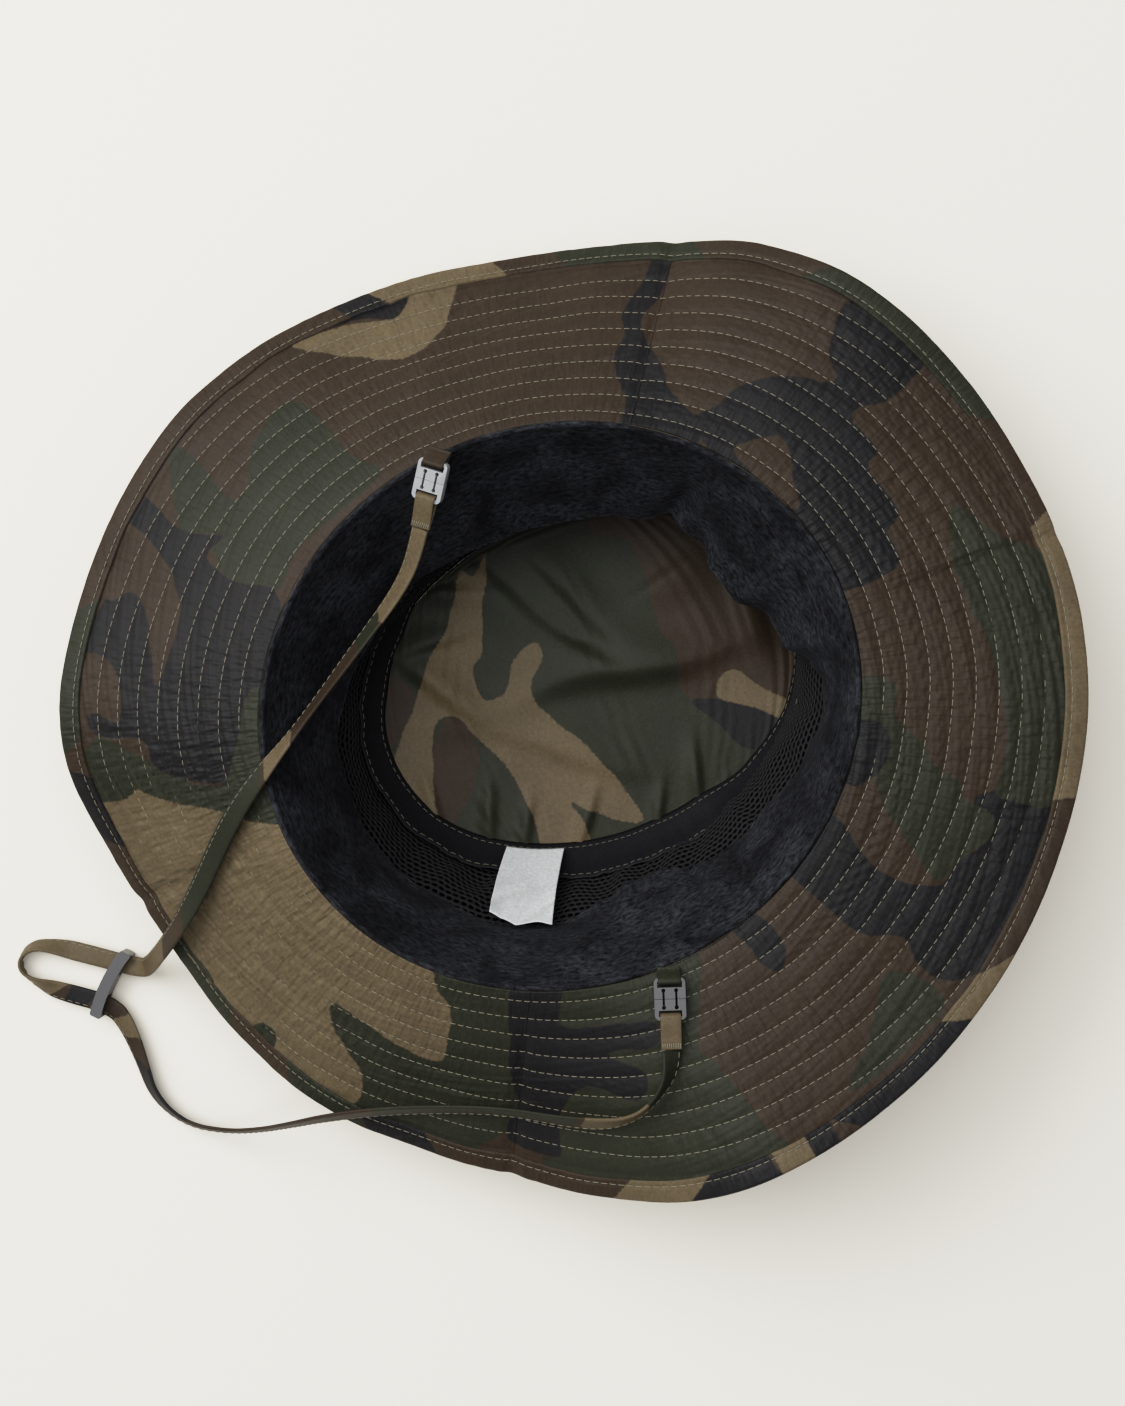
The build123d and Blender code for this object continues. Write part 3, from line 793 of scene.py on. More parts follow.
# ------------------------------------------------------------------ brim
PLAN_RADIUS = 100.0
RIM_RADIUS = 175.0
SEWN_FROM, SEWN_TO = 0.2, BRIM_WIDTH - 1.5
ROWS_FROM, ROWS_TO = 1.5, 66.8
ROW_STAGGER = 0.37
STIFFENER_TOP, STIFFENER_BOTTOM = -0.95, -1.5
# The other face puckers less than the face that shows, and at other places.
LOWER_SHARE, LOWER_TURN = 0.8, 40


def brim_relief(azimuth, along, pucker):
    """Height of the quilted face above its plane, in mm.

    Each channel between two rows puffs up as a rounded sine, the rows pull it down,
    and short radial ripples ride on it.
    """
    first, pitch = row_places(azimuth)
    phase = (along - first) / pitch
    channel = np.abs(np.sin(np.pi * phase)) ** 0.55
    arc = np.radians(azimuth) * (PLAN_RADIUS + along)
    ripple = noise(arc / 3.0 + 0.15 * along, along / 9, 11, period=4096)
    gather = pucker * (0.35 + 0.65 * channel)
    puff = 0.48 + 0.3 * step(pucker, 0.8, 1.5)
    return puff * channel * step(along, 0, 4) + 0.34 * gather * ripple - 0.4


def pucker_strength(azimuth, along):
    """How hard the stitching gathers the cloth: most at the back, least on the far side."""
    back = near(azimuth, 276, 33)
    ear = near(azimuth, 70, 50)
    front = near(azimuth, 180, 22) * step(along, 35, 60)
    patchy = noise(azimuth / 12, along / 20, 21, period=30)
    return np.clip(0.5 + 1.1 * back + 0.6 * ear + 0.4 * front + 0.25 * patchy, 0.1, 1.7)


def upper_relief(azimuth, along):
    """Height of the face that shows, and the strength of its puckers."""
    pucker = pucker_strength(azimuth, along)
    return brim_relief(azimuth, along, pucker), pucker


def lower_relief(azimuth, along):
    """Height of the other face, where it is turned down, and its puckers."""
    pucker = pucker_strength(azimuth + LOWER_TURN, along)
    relief = brim_relief(azimuth, along, pucker) * LOWER_SHARE
    return -BRIM_THICKNESS - relief, pucker


def brim_panel(name, node, seams, rows, density, relief, shift, back, colours):
    """Panel of the brim between two seams: its plane plus the relief of one face.

    density is the number of columns to a degree, and back the height of its coarse side.
    """
    columns = int((seams[1] - seams[0]) * density)
    reach = np.linspace(SEWN_FROM, SEWN_TO, rows)
    along, azimuth = grid(reach, np.linspace(*seams, columns))
    height, pucker = relief(azimuth, along)
    kept = back_rows(rows)
    top = brim_place(azimuth, along, height + shift)
    bottom = brim_place(azimuth[kept], along[kept], back)
    spread = np.stack([np.radians(azimuth) * PLAN_RADIUS, along], -1)
    paint = with_pucker(colours(azimuth, along), pucker)
    piece = cloth_shell(name, top, bottom, False, spread, paint)
    settle(piece, "hat", "camo_cotton", quilted_cotton, node)


def outer_print(azimuth, along):
    """Printed colours of the brim's other face."""
    plan = brim_plan(azimuth, along)
    return scattered_print(plan[..., 0], plan[..., 1], 60)


upper = dict(rows=112, density=4.0, relief=upper_relief, shift=0.0, back=-0.8,
             colours=brim_print)
lower = dict(rows=90, density=2.6, relief=lower_relief, shift=-0.3,
             back=-BRIM_THICKNESS + 0.4, colours=outer_print)
for name, node, (start, end), how in (
    ("quilted_face_back", "brim_under_back", UNDER_SEAMS, upper),
    ("quilted_face_front", "brim_under_front", UNDER_SEAMS[::-1], upper),
    ("outer_cloth_left", "brim_outer_left", OUTER_SEAMS, lower),
    ("outer_cloth_right", "brim_outer_right", OUTER_SEAMS[::-1], lower),
):
    brim_panel(name, node, (start, end if end > start else end + 360), **how)


def binding_strip():
    """Folded strip round the rim: a flat-topped section carried round the brim's edge."""
    azimuth = np.linspace(0, 360, 1500)[:, None]
    top_count, edge_count, bottom_count = 16, 9, 8
    lift, round_edge = 0.55, 0.9
    inner, outer = BRIM_WIDTH - BINDING_REACH, BRIM_WIDTH - round_edge
    turn = np.radians(np.linspace(90, -90, edge_count)[1:-1])
    middle = -BRIM_THICKNESS / 2
    along = np.concatenate([
        np.linspace(inner, outer, top_count), outer + round_edge * np.cos(turn),
        np.linspace(outer, inner, bottom_count), [inner + 0.2, inner],
    ])[None, :]
    above = np.concatenate([
        np.full(top_count, lift), middle + (lift - middle) * np.sin(turn),
        np.full(bottom_count, -BRIM_THICKNESS - lift), [-BRIM_THICKNESS, -0.5],
    ])[None, :]
    face = np.sign(above - middle)
    share = (along - inner) / BINDING_REACH
    puff = 0.35 * np.sin(np.pi * np.clip(share, 0, 1)) ** 0.5
    arc = np.radians(azimuth) * RIM_RADIUS
    ripple = noise(arc / 3.4 + 0.4 * along, along / 9, 31, period=4096)
    sewn = np.exp(-(((along - BINDING_ROW) / 0.7) ** 2))
    above = above + face * (puff + 0.14 * ripple - 0.25 * sewn)
    along = along + 0.5 * noise(azimuth / 4, 0.5, 32, period=90) * (share < 0.3)
    rings = brim_place(azimuth, along, above)
    paint = with_pucker(binding_print(azimuth + 0 * along, along), 0.6)
    spread = np.stack([arc + 0 * along, along], -1)
    piece = tube("edge_binding", rings, True, spread, paint)
    settle(piece, "hat", "camo_cotton", quilted_cotton, "brim_binding")


binding_strip()


def ring_stitches(rows, face):
    """Lockstitch rings on one face of the brim: rows are functions of azimuth."""
    sewn = []
    for count_before, (place, low, high) in enumerate(rows):
        radius = PLAN_RADIUS + np.mean(place(np.linspace(0, 360, 90)))
        count = int(2 * np.pi * radius / (STITCH_LENGTH + STITCH_GAP))
        start = (np.arange(count) + ROW_STAGGER * count_before) * 360 / count
        end = start + STITCH_LENGTH / (STITCH_LENGTH + STITCH_GAP) * 360 / count
        row = [
            brim_place(turn, place(turn), face(turn, place(turn))) for turn in (start, end)
        ]
        foot, head = (brim_place(start, place(start), above) for above in (0.0, 1.0))
        keep = (place(start) > low) & (place(start) < high)
        sewn.append([part[keep] for part in (*row, head - foot)])
    return joined(sewn)


def quilting_row(count_before):
    """Place of one quilting row, as a function of azimuth."""
    def place(turn):
        first, pitch = row_places(turn)
        return first + count_before * pitch
    return place


def binding_row(turn):
    """Place of the row that sews the binding on."""
    return BINDING_ROW + 0.25 * noise(turn / 5, 0.5, 33, period=72)


def upper_face(azimuth, along):
    """Height of the quilted face where a stitch lies on it."""
    relief, pucker = upper_relief(azimuth, along)
    return relief + 0.12 - 0.16 * step(pucker, 0.9, 1.5)


def lower_face(azimuth, along):
    """Height of the other face where a stitch lies on it."""
    return lower_relief(azimuth, along)[0] - 0.4


def binding_face(azimuth, along):
    """Height of the binding's upper face at its stitching."""
    return 0.72 + 0 * along


quilting_rows = [(quilting_row(k), ROWS_FROM, ROWS_TO) for k in range(ROW_COUNT)]
for name, rows, face, sign in (
    ("quilting_upper", quilting_rows, upper_face, 1),
    ("quilting_lower", quilting_rows, lower_face, -1),
    ("binding_stitches", [(binding_row, 0, BRIM_WIDTH)], binding_face, 1),
):
    starts, ends, ups = ring_stitches(rows, face)
    settle(stitches(name, starts, ends, sign * ups), "hat", "camo_cotton", thread)


def stiffener():
    """Woven interlining between the two faces: a thin level ring that follows the brim."""
    along, azimuth = grid([0.4, 20, 40, 58, 75.5], np.linspace(0, 360, 361))
    top = brim_place(azimuth, along, STIFFENER_TOP)
    bottom = brim_place(azimuth, along, STIFFENER_BOTTOM)
    piece = cloth_shell("brim_stiffener", top, bottom, True)
    settle(piece, "hat", "interlining", buckram, "brim_interlining")


stiffener()


# ------------------------------------------------------------------ crown, outside
WALL_RADIUS = 90.0
WALL_SEAMS = (7.0, 73.0, 76.5)
WALL_DENSITY = 1.9


def wall_relief(azimuth, height):
    """Dents and upright drag lines of the soft side, in mm, calm near both its seams."""
    calm = step(height, 2, 14) * (1 - step(height, 66, 79))
    dents = 1.2 * noise(azimuth / 18, height / 22, 71, period=20)
    drags = 0.5 * noise(azimuth / 4.5 + height / 60, height / 40, 72, period=80)
    return (dents + drags) * calm


def crown_side(name, start, end, node):
    """Side panel: the wall between its seams, rounded in at the tip, with soft dents."""
    foot = np.linspace(0.35, 5, 9)
    heights = np.concatenate([foot, np.linspace(6, CROWN_DEPTH - 0.4, 50)])
    columns = int((end - start) * WALL_DENSITY)
    height, azimuth = grid(heights, np.linspace(start, end, columns))
    rounding = 2.2 * (1 - np.sqrt(np.clip(1 - (1 - np.clip(height / 4.5, 0, 1)) ** 2, 0, 1)))
    sewn = sum(np.exp(-(((height - line) / 0.6) ** 2)) for line in WALL_SEAMS)
    inset = rounding - wall_relief(azimuth, height)
    top = wall_place(azimuth, height, inset + 0.25 * sewn)
    bottom = wall_place(azimuth, height, inset + 0.8)
    arc = np.radians(azimuth) * WALL_RADIUS
    paint = with_pucker(scattered_print(arc, height, 80), 0.25)
    piece = full_shell(name, top, bottom, np.stack([arc, height], -1), paint)
    settle(piece, "hat", "camo_cotton", flat_cotton, node)


crown_side("crown_side_front_cloth", 0.15, 179.85, "crown_side_front")
crown_side("crown_side_back_cloth", 180.15, 359.85, "crown_side_back")


def side_lining():
    """Black cloth on the inside of the side panels, seen through the net."""
    height, azimuth = grid(np.linspace(1.2, 74, 40), np.linspace(0, 360, 321))
    relief = wall_relief(azimuth, height)
    inner, outer = (
        wall_place(azimuth, height, inset - relief).swapaxes(0, 1) for inset in (1.6, 1.0)
    )
    rings = np.concatenate([inner, outer[:, ::-1], inner[:, :1]], 1)
    rings[-1] = rings[0]
    piece = tube("crown_side_backing", rings, True)
    settle(piece, "hat", "black_mesh", black_cloth)


side_lining()


def disc_grid(count, half_x, half_y):
    """Square grid bent to an oval, so that it has no pole: flat places of its points."""
    u, v = grid(np.linspace(-1, 1, count), np.linspace(-1, 1, count))
    x = half_x * u * np.sqrt(1 - v**2 / 2)
    y = half_y * v * np.sqrt(1 - u**2 / 2)
    return np.stack([x + TIP_CENTRE[0], y + TIP_CENTRE[1]], -1)


def raised(plan, height):
    """Flat places with a height."""
    return np.concatenate([plan, height[..., None]], -1)


def tip_cloth():
    """Outer cloth of the tip, flat where the hat stands on it and lifted at its rim."""
    plan = disc_grid(90, TIP[1] / 2 - 2.3, TIP[0] / 2 - 2.3)
    rim = np.hypot(*((plan - TIP_CENTRE) / [TIP[1] / 2, TIP[0] / 2]).transpose(2, 0, 1))
    lift = 0.5 * step(rim, 0.9, 0.99)
    paint = with_pucker(scattered_print(plan[..., 0], plan[..., 1], 90), 0.2)
    piece = full_shell("crown_tip_cloth", raised(plan, lift + 0.8), raised(plan, lift),
                       plan, paint)
    settle(piece, "hat", "camo_cotton", flat_cotton, "crown_tip")


tip_cloth()


# ------------------------------------------------------------------ crown, inside
# Folds of the tip's lining: middle in mm, heading, half length, half width and height.
# The side to the left of the heading is the steep one.
FOLDS = (
    (-40.6, 2.7, 212, 27, 5.5, -4.2), (-38, 14, 212, 24, 8, 2.6), (-47, -9, 32, 22, 8, 2.0),
    (-6.7, 22.2, 261, 36, 11, 5.4), (-28.0, -43.8, 219, 17, 6, 3.6),
    (-44, -40, 273, 12, 5, 2.6), (-6.0, 68.8, 183, 18, 6, 3.6), (-30, 48, 111, 18, 8, 2.4),
    (21.3, -44.9, -13, 11, 3.0, 2.6), (37.5, -13.9, -30, 11, 3.0, 2.4),
    (38.2, 29.1, -8, 11, 3.0, 2.4), (8, -62, 5, 10, 2.6, 2.0), (30, -34, -20, 9, 2.6, 2.0),
    (44, 12, -20, 9, 2.6, 2.0), (-60, -30, 70, 16, 5, 2.6), (10, -12, 235, 30, 9, 2.4),
)
LINING_LOW, LINING_HIGH = 1.5, 13.0


def tip_lining_cloth():
    """Printed lining of the tip, left slack: laid down by a short cloth simulation.

    It starts as an oval with a low swell, is let out by two per cent, and settles under
    its own weight, with its rim held by the seam.  The long folds are then pushed up.
    """
    half_x, half_y = TIP[1] / 2 - 2.4, TIP[0] / 2 - 2.4
    plan = disc_grid(110, half_x, half_y)
    x, y = plan[..., 0], plan[..., 1]
    rim = np.hypot((x - TIP_CENTRE[0]) / half_x, (y - TIP_CENTRE[1]) / half_y)
    height = 1.7 + (2.6 + 0.6 * noise(x / 16, y / 16, 101)) * (1 - step(rim, 0.5, 0.86))
    top = raised(plan, height + 1.6 * step(rim, 0.93, 1.0))
    top = settled_sheet(top, rim > 0.995)
    push = 0 * x
    for mid_x, mid_y, heading, half_length, half_width, rise in FOLDS:
        turn = math.radians(heading)
        along = (x - mid_x) * math.cos(turn) + (y - mid_y) * math.sin(turn)
        across = -(x - mid_x) * math.sin(turn) + (y - mid_y) * math.cos(turn)
        across = across + 2.5 * np.sin(along / 13)
        width = half_width * np.where(across > 0, 0.5, 1.2)
        push = push + rise * np.exp(-((along / half_length) ** 2) - (across / width) ** 2)
    push = push * (1 - step(rim, 0.95, 1.0))
    top[..., 2] = np.clip(top[..., 2] + push, LINING_LOW, LINING_HIGH)
    paint = with_pucker(printed(plan, TIP_SHAPES, 6), 0.1)
    piece = full_shell("tip_lining_cloth", top, top - [0, 0, 0.5], plan, paint)
    settle(piece, "hat", "camo_cotton", flat_cotton, "tip_lining")


def settled_sheet(top, held):
    """Grid of points after a cloth simulation that keeps the held ones in place.

    The trial is ten times as large as the hat, because the solver is made for garments.
    """
    trial_scale, frames, longest_move = 10, 30, 7.0
    bed_half, bed_level, gap = 3.0, 0.011, 0.002
    rows, columns = top.shape[:2]
    mesh = bpy.data.meshes.new("sheet_trial")
    mesh.from_pydata((top.reshape(-1, 3) * MM * trial_scale).tolist(), [],
                     cells(numbered(rows, columns)).tolist())
    sheet = placed("sheet_trial", mesh)
    group = sheet.vertex_groups.new(name="held")
    group.add(np.flatnonzero(held.ravel()).tolist(), 1.0, "REPLACE")
    bed = placed("bed_trial", square_mesh("bed_trial", bed_half, bed_level))
    bed.modifiers.new("collision", "COLLISION")
    bed.collision.thickness_outer = gap
    cloth = sheet.modifiers.new("cloth", "CLOTH")
    for key, value in dict(vertex_group_mass="held", quality=6, mass=0.3, shrink_min=-0.02,
                           tension_stiffness=20, compression_stiffness=20,
                           bending_stiffness=5.0).items():
        setattr(cloth.settings, key, value)
    cloth.collision_settings.distance_min = gap
    cloth.point_cache.frame_start = 1
    cloth.point_cache.frame_end = frames
    for moment in range(1, frames + 1):
        bpy.context.scene.frame_set(moment)
    seen = sheet.evaluated_get(bpy.context.evaluated_depsgraph_get())
    places = np.empty(rows * columns * 3)
    seen.data.vertices.foreach_get("co", places)
    bpy.context.scene.frame_set(1)
    bpy.data.objects.remove(sheet)
    bpy.data.objects.remove(bed)
    moved = places.reshape(rows, columns, 3) / MM / trial_scale - top
    size = np.linalg.norm(moved, axis=-1, keepdims=True)
    result = top + moved * np.minimum(1, longest_move / np.maximum(size, 1e-9))
    result[..., 2] = np.clip(result[..., 2], LINING_LOW, LINING_HIGH - 1)
    return result


def square_mesh(name, half, level):
    """Level square, in metres."""
    corners = [(-half, -half, level), (half, -half, level), (half, half, level),
               (-half, half, level)]
    mesh = bpy.data.meshes.new(name)
    mesh.from_pydata(corners, [], [(0, 1, 2, 3)])
    return mesh


tip_lining_cloth()

# Lean of the sweatband's free edge off the wall, in mm, at azimuths about the crown.
BAND_LEAN = np.array([
    (4, 12), (19, 6.5), (28, 5), (38, 5), (52, 1.5), (62, 0), (70, 0.5), (74, 5), (80, 14),
    (88, 16), (97, 24), (108, 23), (116, 17), (126, 15.5), (141, 17), (159, 18.5),
    (179, 18), (196, 16), (210, 13), (229, 12.4), (244, 9.7), (256, 7), (271, 6.4),
    (287, 3), (306, 2.6), (317, 0.3), (333, 2.4), (346, 8), (353, 12.5),
], float)


def fleece_pile(arc, climb, seed):
    """Height of the pile in mm: clumps of about 3 mm with finer tufts on them."""
    return (
        0.10 * noise(arc / 3.4, climb / 2.4, seed, period=512)
        + 0.06 * noise(arc / 1.7, climb / 1.1, seed + 1, period=1024)
    )


def sweatband_form():
    """Fleece band: a flat folded loop carried round the wall, with a rolled free edge."""
    front, roll, back, lip = 58, 12, 8, 10
    top, low = CROWN_DEPTH - 0.6, 35.0
    azimuth = np.linspace(0, 360, 1000)[:, None]
    rolled, lipped = np.linspace(0, np.pi, roll), np.linspace(0, np.pi, lip)
    share, depth, dip, climb = (np.concatenate(parts) for parts in (
        (np.linspace(0, 1, front), np.ones(roll), np.linspace(1, 0.02, back), np.zeros(lip)),
        (np.ones(front), np.cos(rolled), -np.ones(back), -np.cos(lipped)),
        (np.zeros(front), np.sin(rolled), np.zeros(back), -0.7 * np.sin(lipped)),
        (np.linspace(0, 44, front), np.linspace(44, 49, roll), np.linspace(49, 93, back),
         np.linspace(93, 97, lip)),
    ))
    swell = np.sin(np.pi * np.clip(share, 0, 1))
    thick = (1.3 + 0.9 * swell + 0.3 * share) * (0.75 + 0.25 * step(share, 0, 0.15))
    sway = noise(azimuth / 9, 0.5, 41, period=40)
    sway = sway + 0.5 * noise(azimuth / 4, 2.5, 42, period=90)
    tall = 1.0 - 0.12 * near(azimuth, 20, 45) + 0.03 * sway
    height = top - (top - low) * share * tall - dip * (thick + 0.4)
    lean = eased(BAND_LEAN, azimuth) * share**1.5
    belly = 2.4 * np.sin(np.pi * share) * (1 + 0.3 * sway)
    bumps = 1.5 * noise(azimuth / 8, share * 2.2, 43, period=45)
    bumps = bumps * np.sin(np.pi * share) ** 0.7
    fold = -3.5 * near(azimuth, 122 + 6 * share, 3.0) * step(share, 0.15, 0.8)
    tuck = -2.0 * near(azimuth, 17 - 6 * share, 1.4) * step(share, 0.45, 0.75)
    inset = 1.1 + lean + belly + bumps + fold + tuck + depth * thick
    arc, climb = np.broadcast_arrays(np.radians(azimuth) * 97, climb[None, :])
    pile = fleece_pile(arc, climb, 44) * (depth > -0.9)
    rings = wall_place(azimuth + 0 * inset, height + 0 * inset, inset + pile)
    rings[:, -1] = rings[:, 0]
    piece = tube("sweatband_fleece", rings, True, np.stack([arc, climb], -1))
    settle(piece, "hat", "navy_fleece", fleece, "sweatband")


sweatband_form()


def net_place(azimuth, height):
    """The net hangs slack before the wall: its inset sways and gathers in folds."""
    slack = noise(azimuth / 7, height / 16, 51, period=52)
    slack = slack + 0.6 * noise(azimuth / 3.3, height / 14, 52, period=109)
    belly = np.sin(np.pi * np.clip((height - 3) / 38, 0, 1)) * (2.4 + 1.3 * slack)
    return wall_place(azimuth, height, 3.4 - 1.2 * step(height, 30, 41) + belly)


def net_lining():
    """Knitted net: staggered cells, each a ring of eight quads round an open mesh."""
    around, rows = 186, 17
    low, high = 4.0, 43.0
    key_steps = 1000
    turns = np.arange(8) * math.pi / 4
    circle = np.stack([np.cos(turns), np.sin(turns)], -1)
    outer = circle / np.abs(circle).max(1, keepdims=True) / 2
    inner = circle * [0.41, 0.38]
    row, column = grid(np.arange(rows), np.arange(around))
    middle = np.stack([column + 0.5 * (row % 2) + 0.5, row + 0.5], -1).reshape(-1, 1, 2)
    spots = np.concatenate([middle + outer, middle + inner], 1)
    keys = np.round(spots.reshape(-1, 2) * key_steps).astype(int)
    keys[:, 0] %= around * key_steps
    unique, index = np.unique(keys, axis=0, return_inverse=True)
    index = index.reshape(-1, 16)
    k = np.arange(8)
    after = (k + 1) % 8
    quads = np.stack([index[:, k], index[:, after], index[:, after + 8], index[:, k + 8]], -1)
    azimuth = unique[:, 0] / key_steps * 360 / around
    height = low + unique[:, 1] / key_steps * (high - low) / rows
    piece = build("net_lining", net_place(azimuth, height), [quads.reshape(-1, 4)])
    wall = piece.modifiers.new("thickness", "SOLIDIFY")
    wall.thickness = 0.55 * MM
    wall.offset = 0
    settle(piece, "hat", "black_mesh", net, "mesh_lining")


net_lining()


# Inset of the tape's two edges off the wall, in mm, at azimuths about the crown.
TAPE_FOOT = np.array([
    (0, 11), (20, 10), (41, 6), (62, 4), (100, 4), (125, 3), (150, 2.6), (215, 2.6),
    (235, 7), (250, 9), (281, 11), (318, 12),
], float)
TAPE_HEAD = np.array([
    (0, 5.5), (13, 3.6), (41, 3.6), (62, 4), (100, 4.5), (220, 4.5), (250, 6.5), (277, 8),
    (310, 8), (343, 6.5),
], float)


def seam_tape():
    """Woven tape over the tip seam: a flat ring, curled a little along both its edges."""
    low, width = 2.6, 11.0
    height, azimuth = grid(np.linspace(low, low + width, 14), np.linspace(0, 360, 700))
    share = (height - low) / width
    sway = noise(azimuth / 5, height / 30, 61, period=72)
    sway = sway + 0.4 * noise(azimuth / 2, height / 12, 62, period=180)
    foot, head = eased(TAPE_FOOT, azimuth), eased(TAPE_HEAD, azimuth)
    inset = foot + (head - foot) * share + 0.8 * sway * share
    inset = inset + 0.4 * np.cos(2 * np.pi * share)
    top = wall_place(azimuth, height, inset)
    bottom = wall_place(azimuth, height, inset - 0.5)
    piece = cloth_shell("tip_seam_tape_woven", top, bottom, True)
    settle(piece, "hat", "black_tape", tape, "tip_seam_tape")
    count, stitch_share = 150, 0.68
    start = np.arange(count) * 360 / count
    ups = polar_place(0, 0, -1, start, 0.3 + 0 * start)
    rows = []
    for line in (2, 12):
        row = []
        for turn in (start, start + stitch_share * 360 / count):
            at = np.interp(turn, azimuth[0], inset[line], period=360)
            row.append(wall_place(turn, np.full(count, height[line, 0]), at + 0.15))
        rows.append((*row, ups))
    settle(stitches("tape_stitches", *joined(rows)), "hat", "black_tape", dark_thread)


seam_tape()


# ------------------------------------------------------------------ care label
LABEL_WIDTH = 25.5
LABEL_DROP = 40.0
LABEL_AZIMUTH = 320.5


def care_tag():
    """Blank satin tag: hangs from the tape over the net, crumpled, with curled corners."""
    across, drop = grid(np.linspace(-0.5, 0.5, 46), np.linspace(0, 1, 52))
    azimuth = np.degrees(across * LABEL_WIDTH / (76 + 13 * drop))
    azimuth = LABEL_AZIMUTH + 3.4 * drop + azimuth
    height = 7.0 + drop * LABEL_DROP * 0.93
    lift = 13.6 - 5.6 * drop + 1.2 * np.sin(np.pi * drop)
    crumple = 0.8 * noise(across * 4 + drop * 2, drop * 4, 66) * step(drop, 0.2, 0.6)
    crease = 1.5 * np.abs(np.sin((across * 1.3 + drop * 2.1) * 3.1)) * step(drop, 0.4, 0.8)
    curl = 7.2 * np.maximum(0, abs(across) - 0.3) * step(drop, 0.6, 1) * (across < 0)
    inset = lift + crumple + crease + curl
    top = wall_place(azimuth, height, inset)
    bottom = wall_place(azimuth, height, inset - 0.25)
    piece = full_shell("care_tag", top, bottom)
    settle(piece, "hat", "white_satin", satin, "care_label")


care_tag()


# ------------------------------------------------------------------ tapes and strap
def strap_line():
    """Points along the smooth line of the strap, in mm: a quadratic NURBS curve."""
    data = bpy.data.curves.new("strap_line", "CURVE")
    data.dimensions = "3D"
    data.resolution_u = 12
    spline = data.splines.new("NURBS")
    spline.points.add(len(STRAP_ROUTE) - 1)
    for point, place in zip(spline.points, STRAP_ROUTE):
        point.co = (*(c * MM for c in place), 1)
    spline.order_u = 3
    spline.use_endpoint_u = True
    carrier = placed("strap_line", data)
    mesh = bpy.data.meshes.new_from_object(carrier)
    line = np.array([v.co for v in mesh.vertices]) / MM
    bpy.data.objects.remove(carrier)
    bpy.data.meshes.remove(mesh)
    return line


def tape_ring(width, thickness, folded):
    """Section of a folded tape: flat faces, round edges and a slit where the fold closes."""
    half, rise = width / 2, thickness / 2
    turn = np.radians(np.linspace(-90, 90, 5))
    right = np.stack([half - rise + rise * np.cos(turn), rise * np.sin(turn)], -1)
    left = -right
    top = np.stack([np.linspace(half - rise, rise - half, 6)[1:-1], np.full(4, rise)], -1)
    if folded:
        slit = np.array([(-half + 0.02, rise * 0.25), (-half + 0.5, 0.0),
                         (-half + 0.02, -rise * 0.25)])
        left = np.concatenate([left[:2], slit, left[3:]])
    ring = np.concatenate([right, top, left, -top])
    return np.concatenate([ring, ring[:1]])


def tape_along(name, line, flat, normal, width, thickness, folded, colours):
    """Tape carried along a line: flat is its width's direction and normal its face's."""
    section = tape_ring(width, thickness, folded)
    rings = (
        line[:, None, :]
        + flat[:, None, :] * section[None, :, :1]
        + normal[:, None, :] * section[None, :, 1:]
    )
    run, across = grid(run_along(line), section[:, 0])
    paint = with_pucker(colours(run, across), 0.3)
    return tube(name, rings, False, np.stack([run, across], -1), paint)


# Print of the strap, from the left clip on: colour, start, end and slant in mm.
STRAP_BANDS = (
    (TAN, -5, 34, 3), (GREEN, 34, 46, 4), (TAN, 84, 98, 5), (GREEN, 100, 168, 8),
    (TAN, 188, 292, 6), (BLACK, 296, 306, 3), (BROWN, 306, 318, 3), (TAN, 318, 326, 3),
    (BLACK, 336, 362, 7), (GREEN, 452, 526, 8), (TAN, 530, 556, 4), (GREEN, 557, 590, 4),
)


def strap_print(run, across):
    """Bands of the print along the strap, with slanted ends."""
    wobble = 1.2 * noise(run / 6, across / 4, 9)
    return banded(run, across / STRAP_WIDTH, STRAP_BANDS, wobble)


def strap_frame(line):
    """Directions of the strap's width and face along its line, turned on edge as listed."""
    tangent = unit(np.gradient(line, axis=0))
    level = unit(np.cross([0.0, 0.0, 1.0], tangent))
    face = np.cross(tangent, level)
    place = np.linspace(0, len(STRAP_TURNS) - 1, len(line))
    turn = np.radians(np.interp(place, np.arange(len(STRAP_TURNS)), STRAP_TURNS))
    turn = np.convolve(np.pad(turn, 7, mode="edge"), np.ones(15) / 15, mode="valid")
    turn = turn[:, None]
    flat = np.cos(turn) * level + np.sin(turn) * face
    return flat, np.cross(tangent, flat)


def edge_stitches(name, line, flat, normal):
    """Row of stitches on both faces of the strap, near its slit edge."""
    stitch_share, inside_edge, radius = 0.68, 1.0, 0.13
    run = run_along(line)
    count = int(run[-1] / 2.9)
    pitch = run[-1] / count
    start = (np.arange(count) + 0.2) * pitch
    rows = []
    for sign in (1, -1):
        row = []
        for at in (start, start + stitch_share * pitch):
            point, side, rise = (at_run(at, run, part) for part in (line, flat, normal))
            out = sign * rise * (STRAP_THICKNESS / 2 + 0.02)
            row.append(point - side * (STRAP_WIDTH / 2 - inside_edge) + out)
        rows.append((*row, sign * rise))
    piece = stitches(name, *joined(rows), radius=radius)
    settle(piece, "hat", "camo_tape", thread)


def hang_strap():
    """Chin strap on its route, laid flat or on edge as it twists."""
    line = strap_line()
    flat, normal = strap_frame(line)
    piece = tape_along("chin_strap_tape", line, flat, normal, STRAP_WIDTH, STRAP_THICKNESS,
                       True, strap_print)
    settle(piece, "hat", "camo_tape", flat_cotton, "chin_strap")
    edge_stitches("strap_stitches", line, flat, normal)


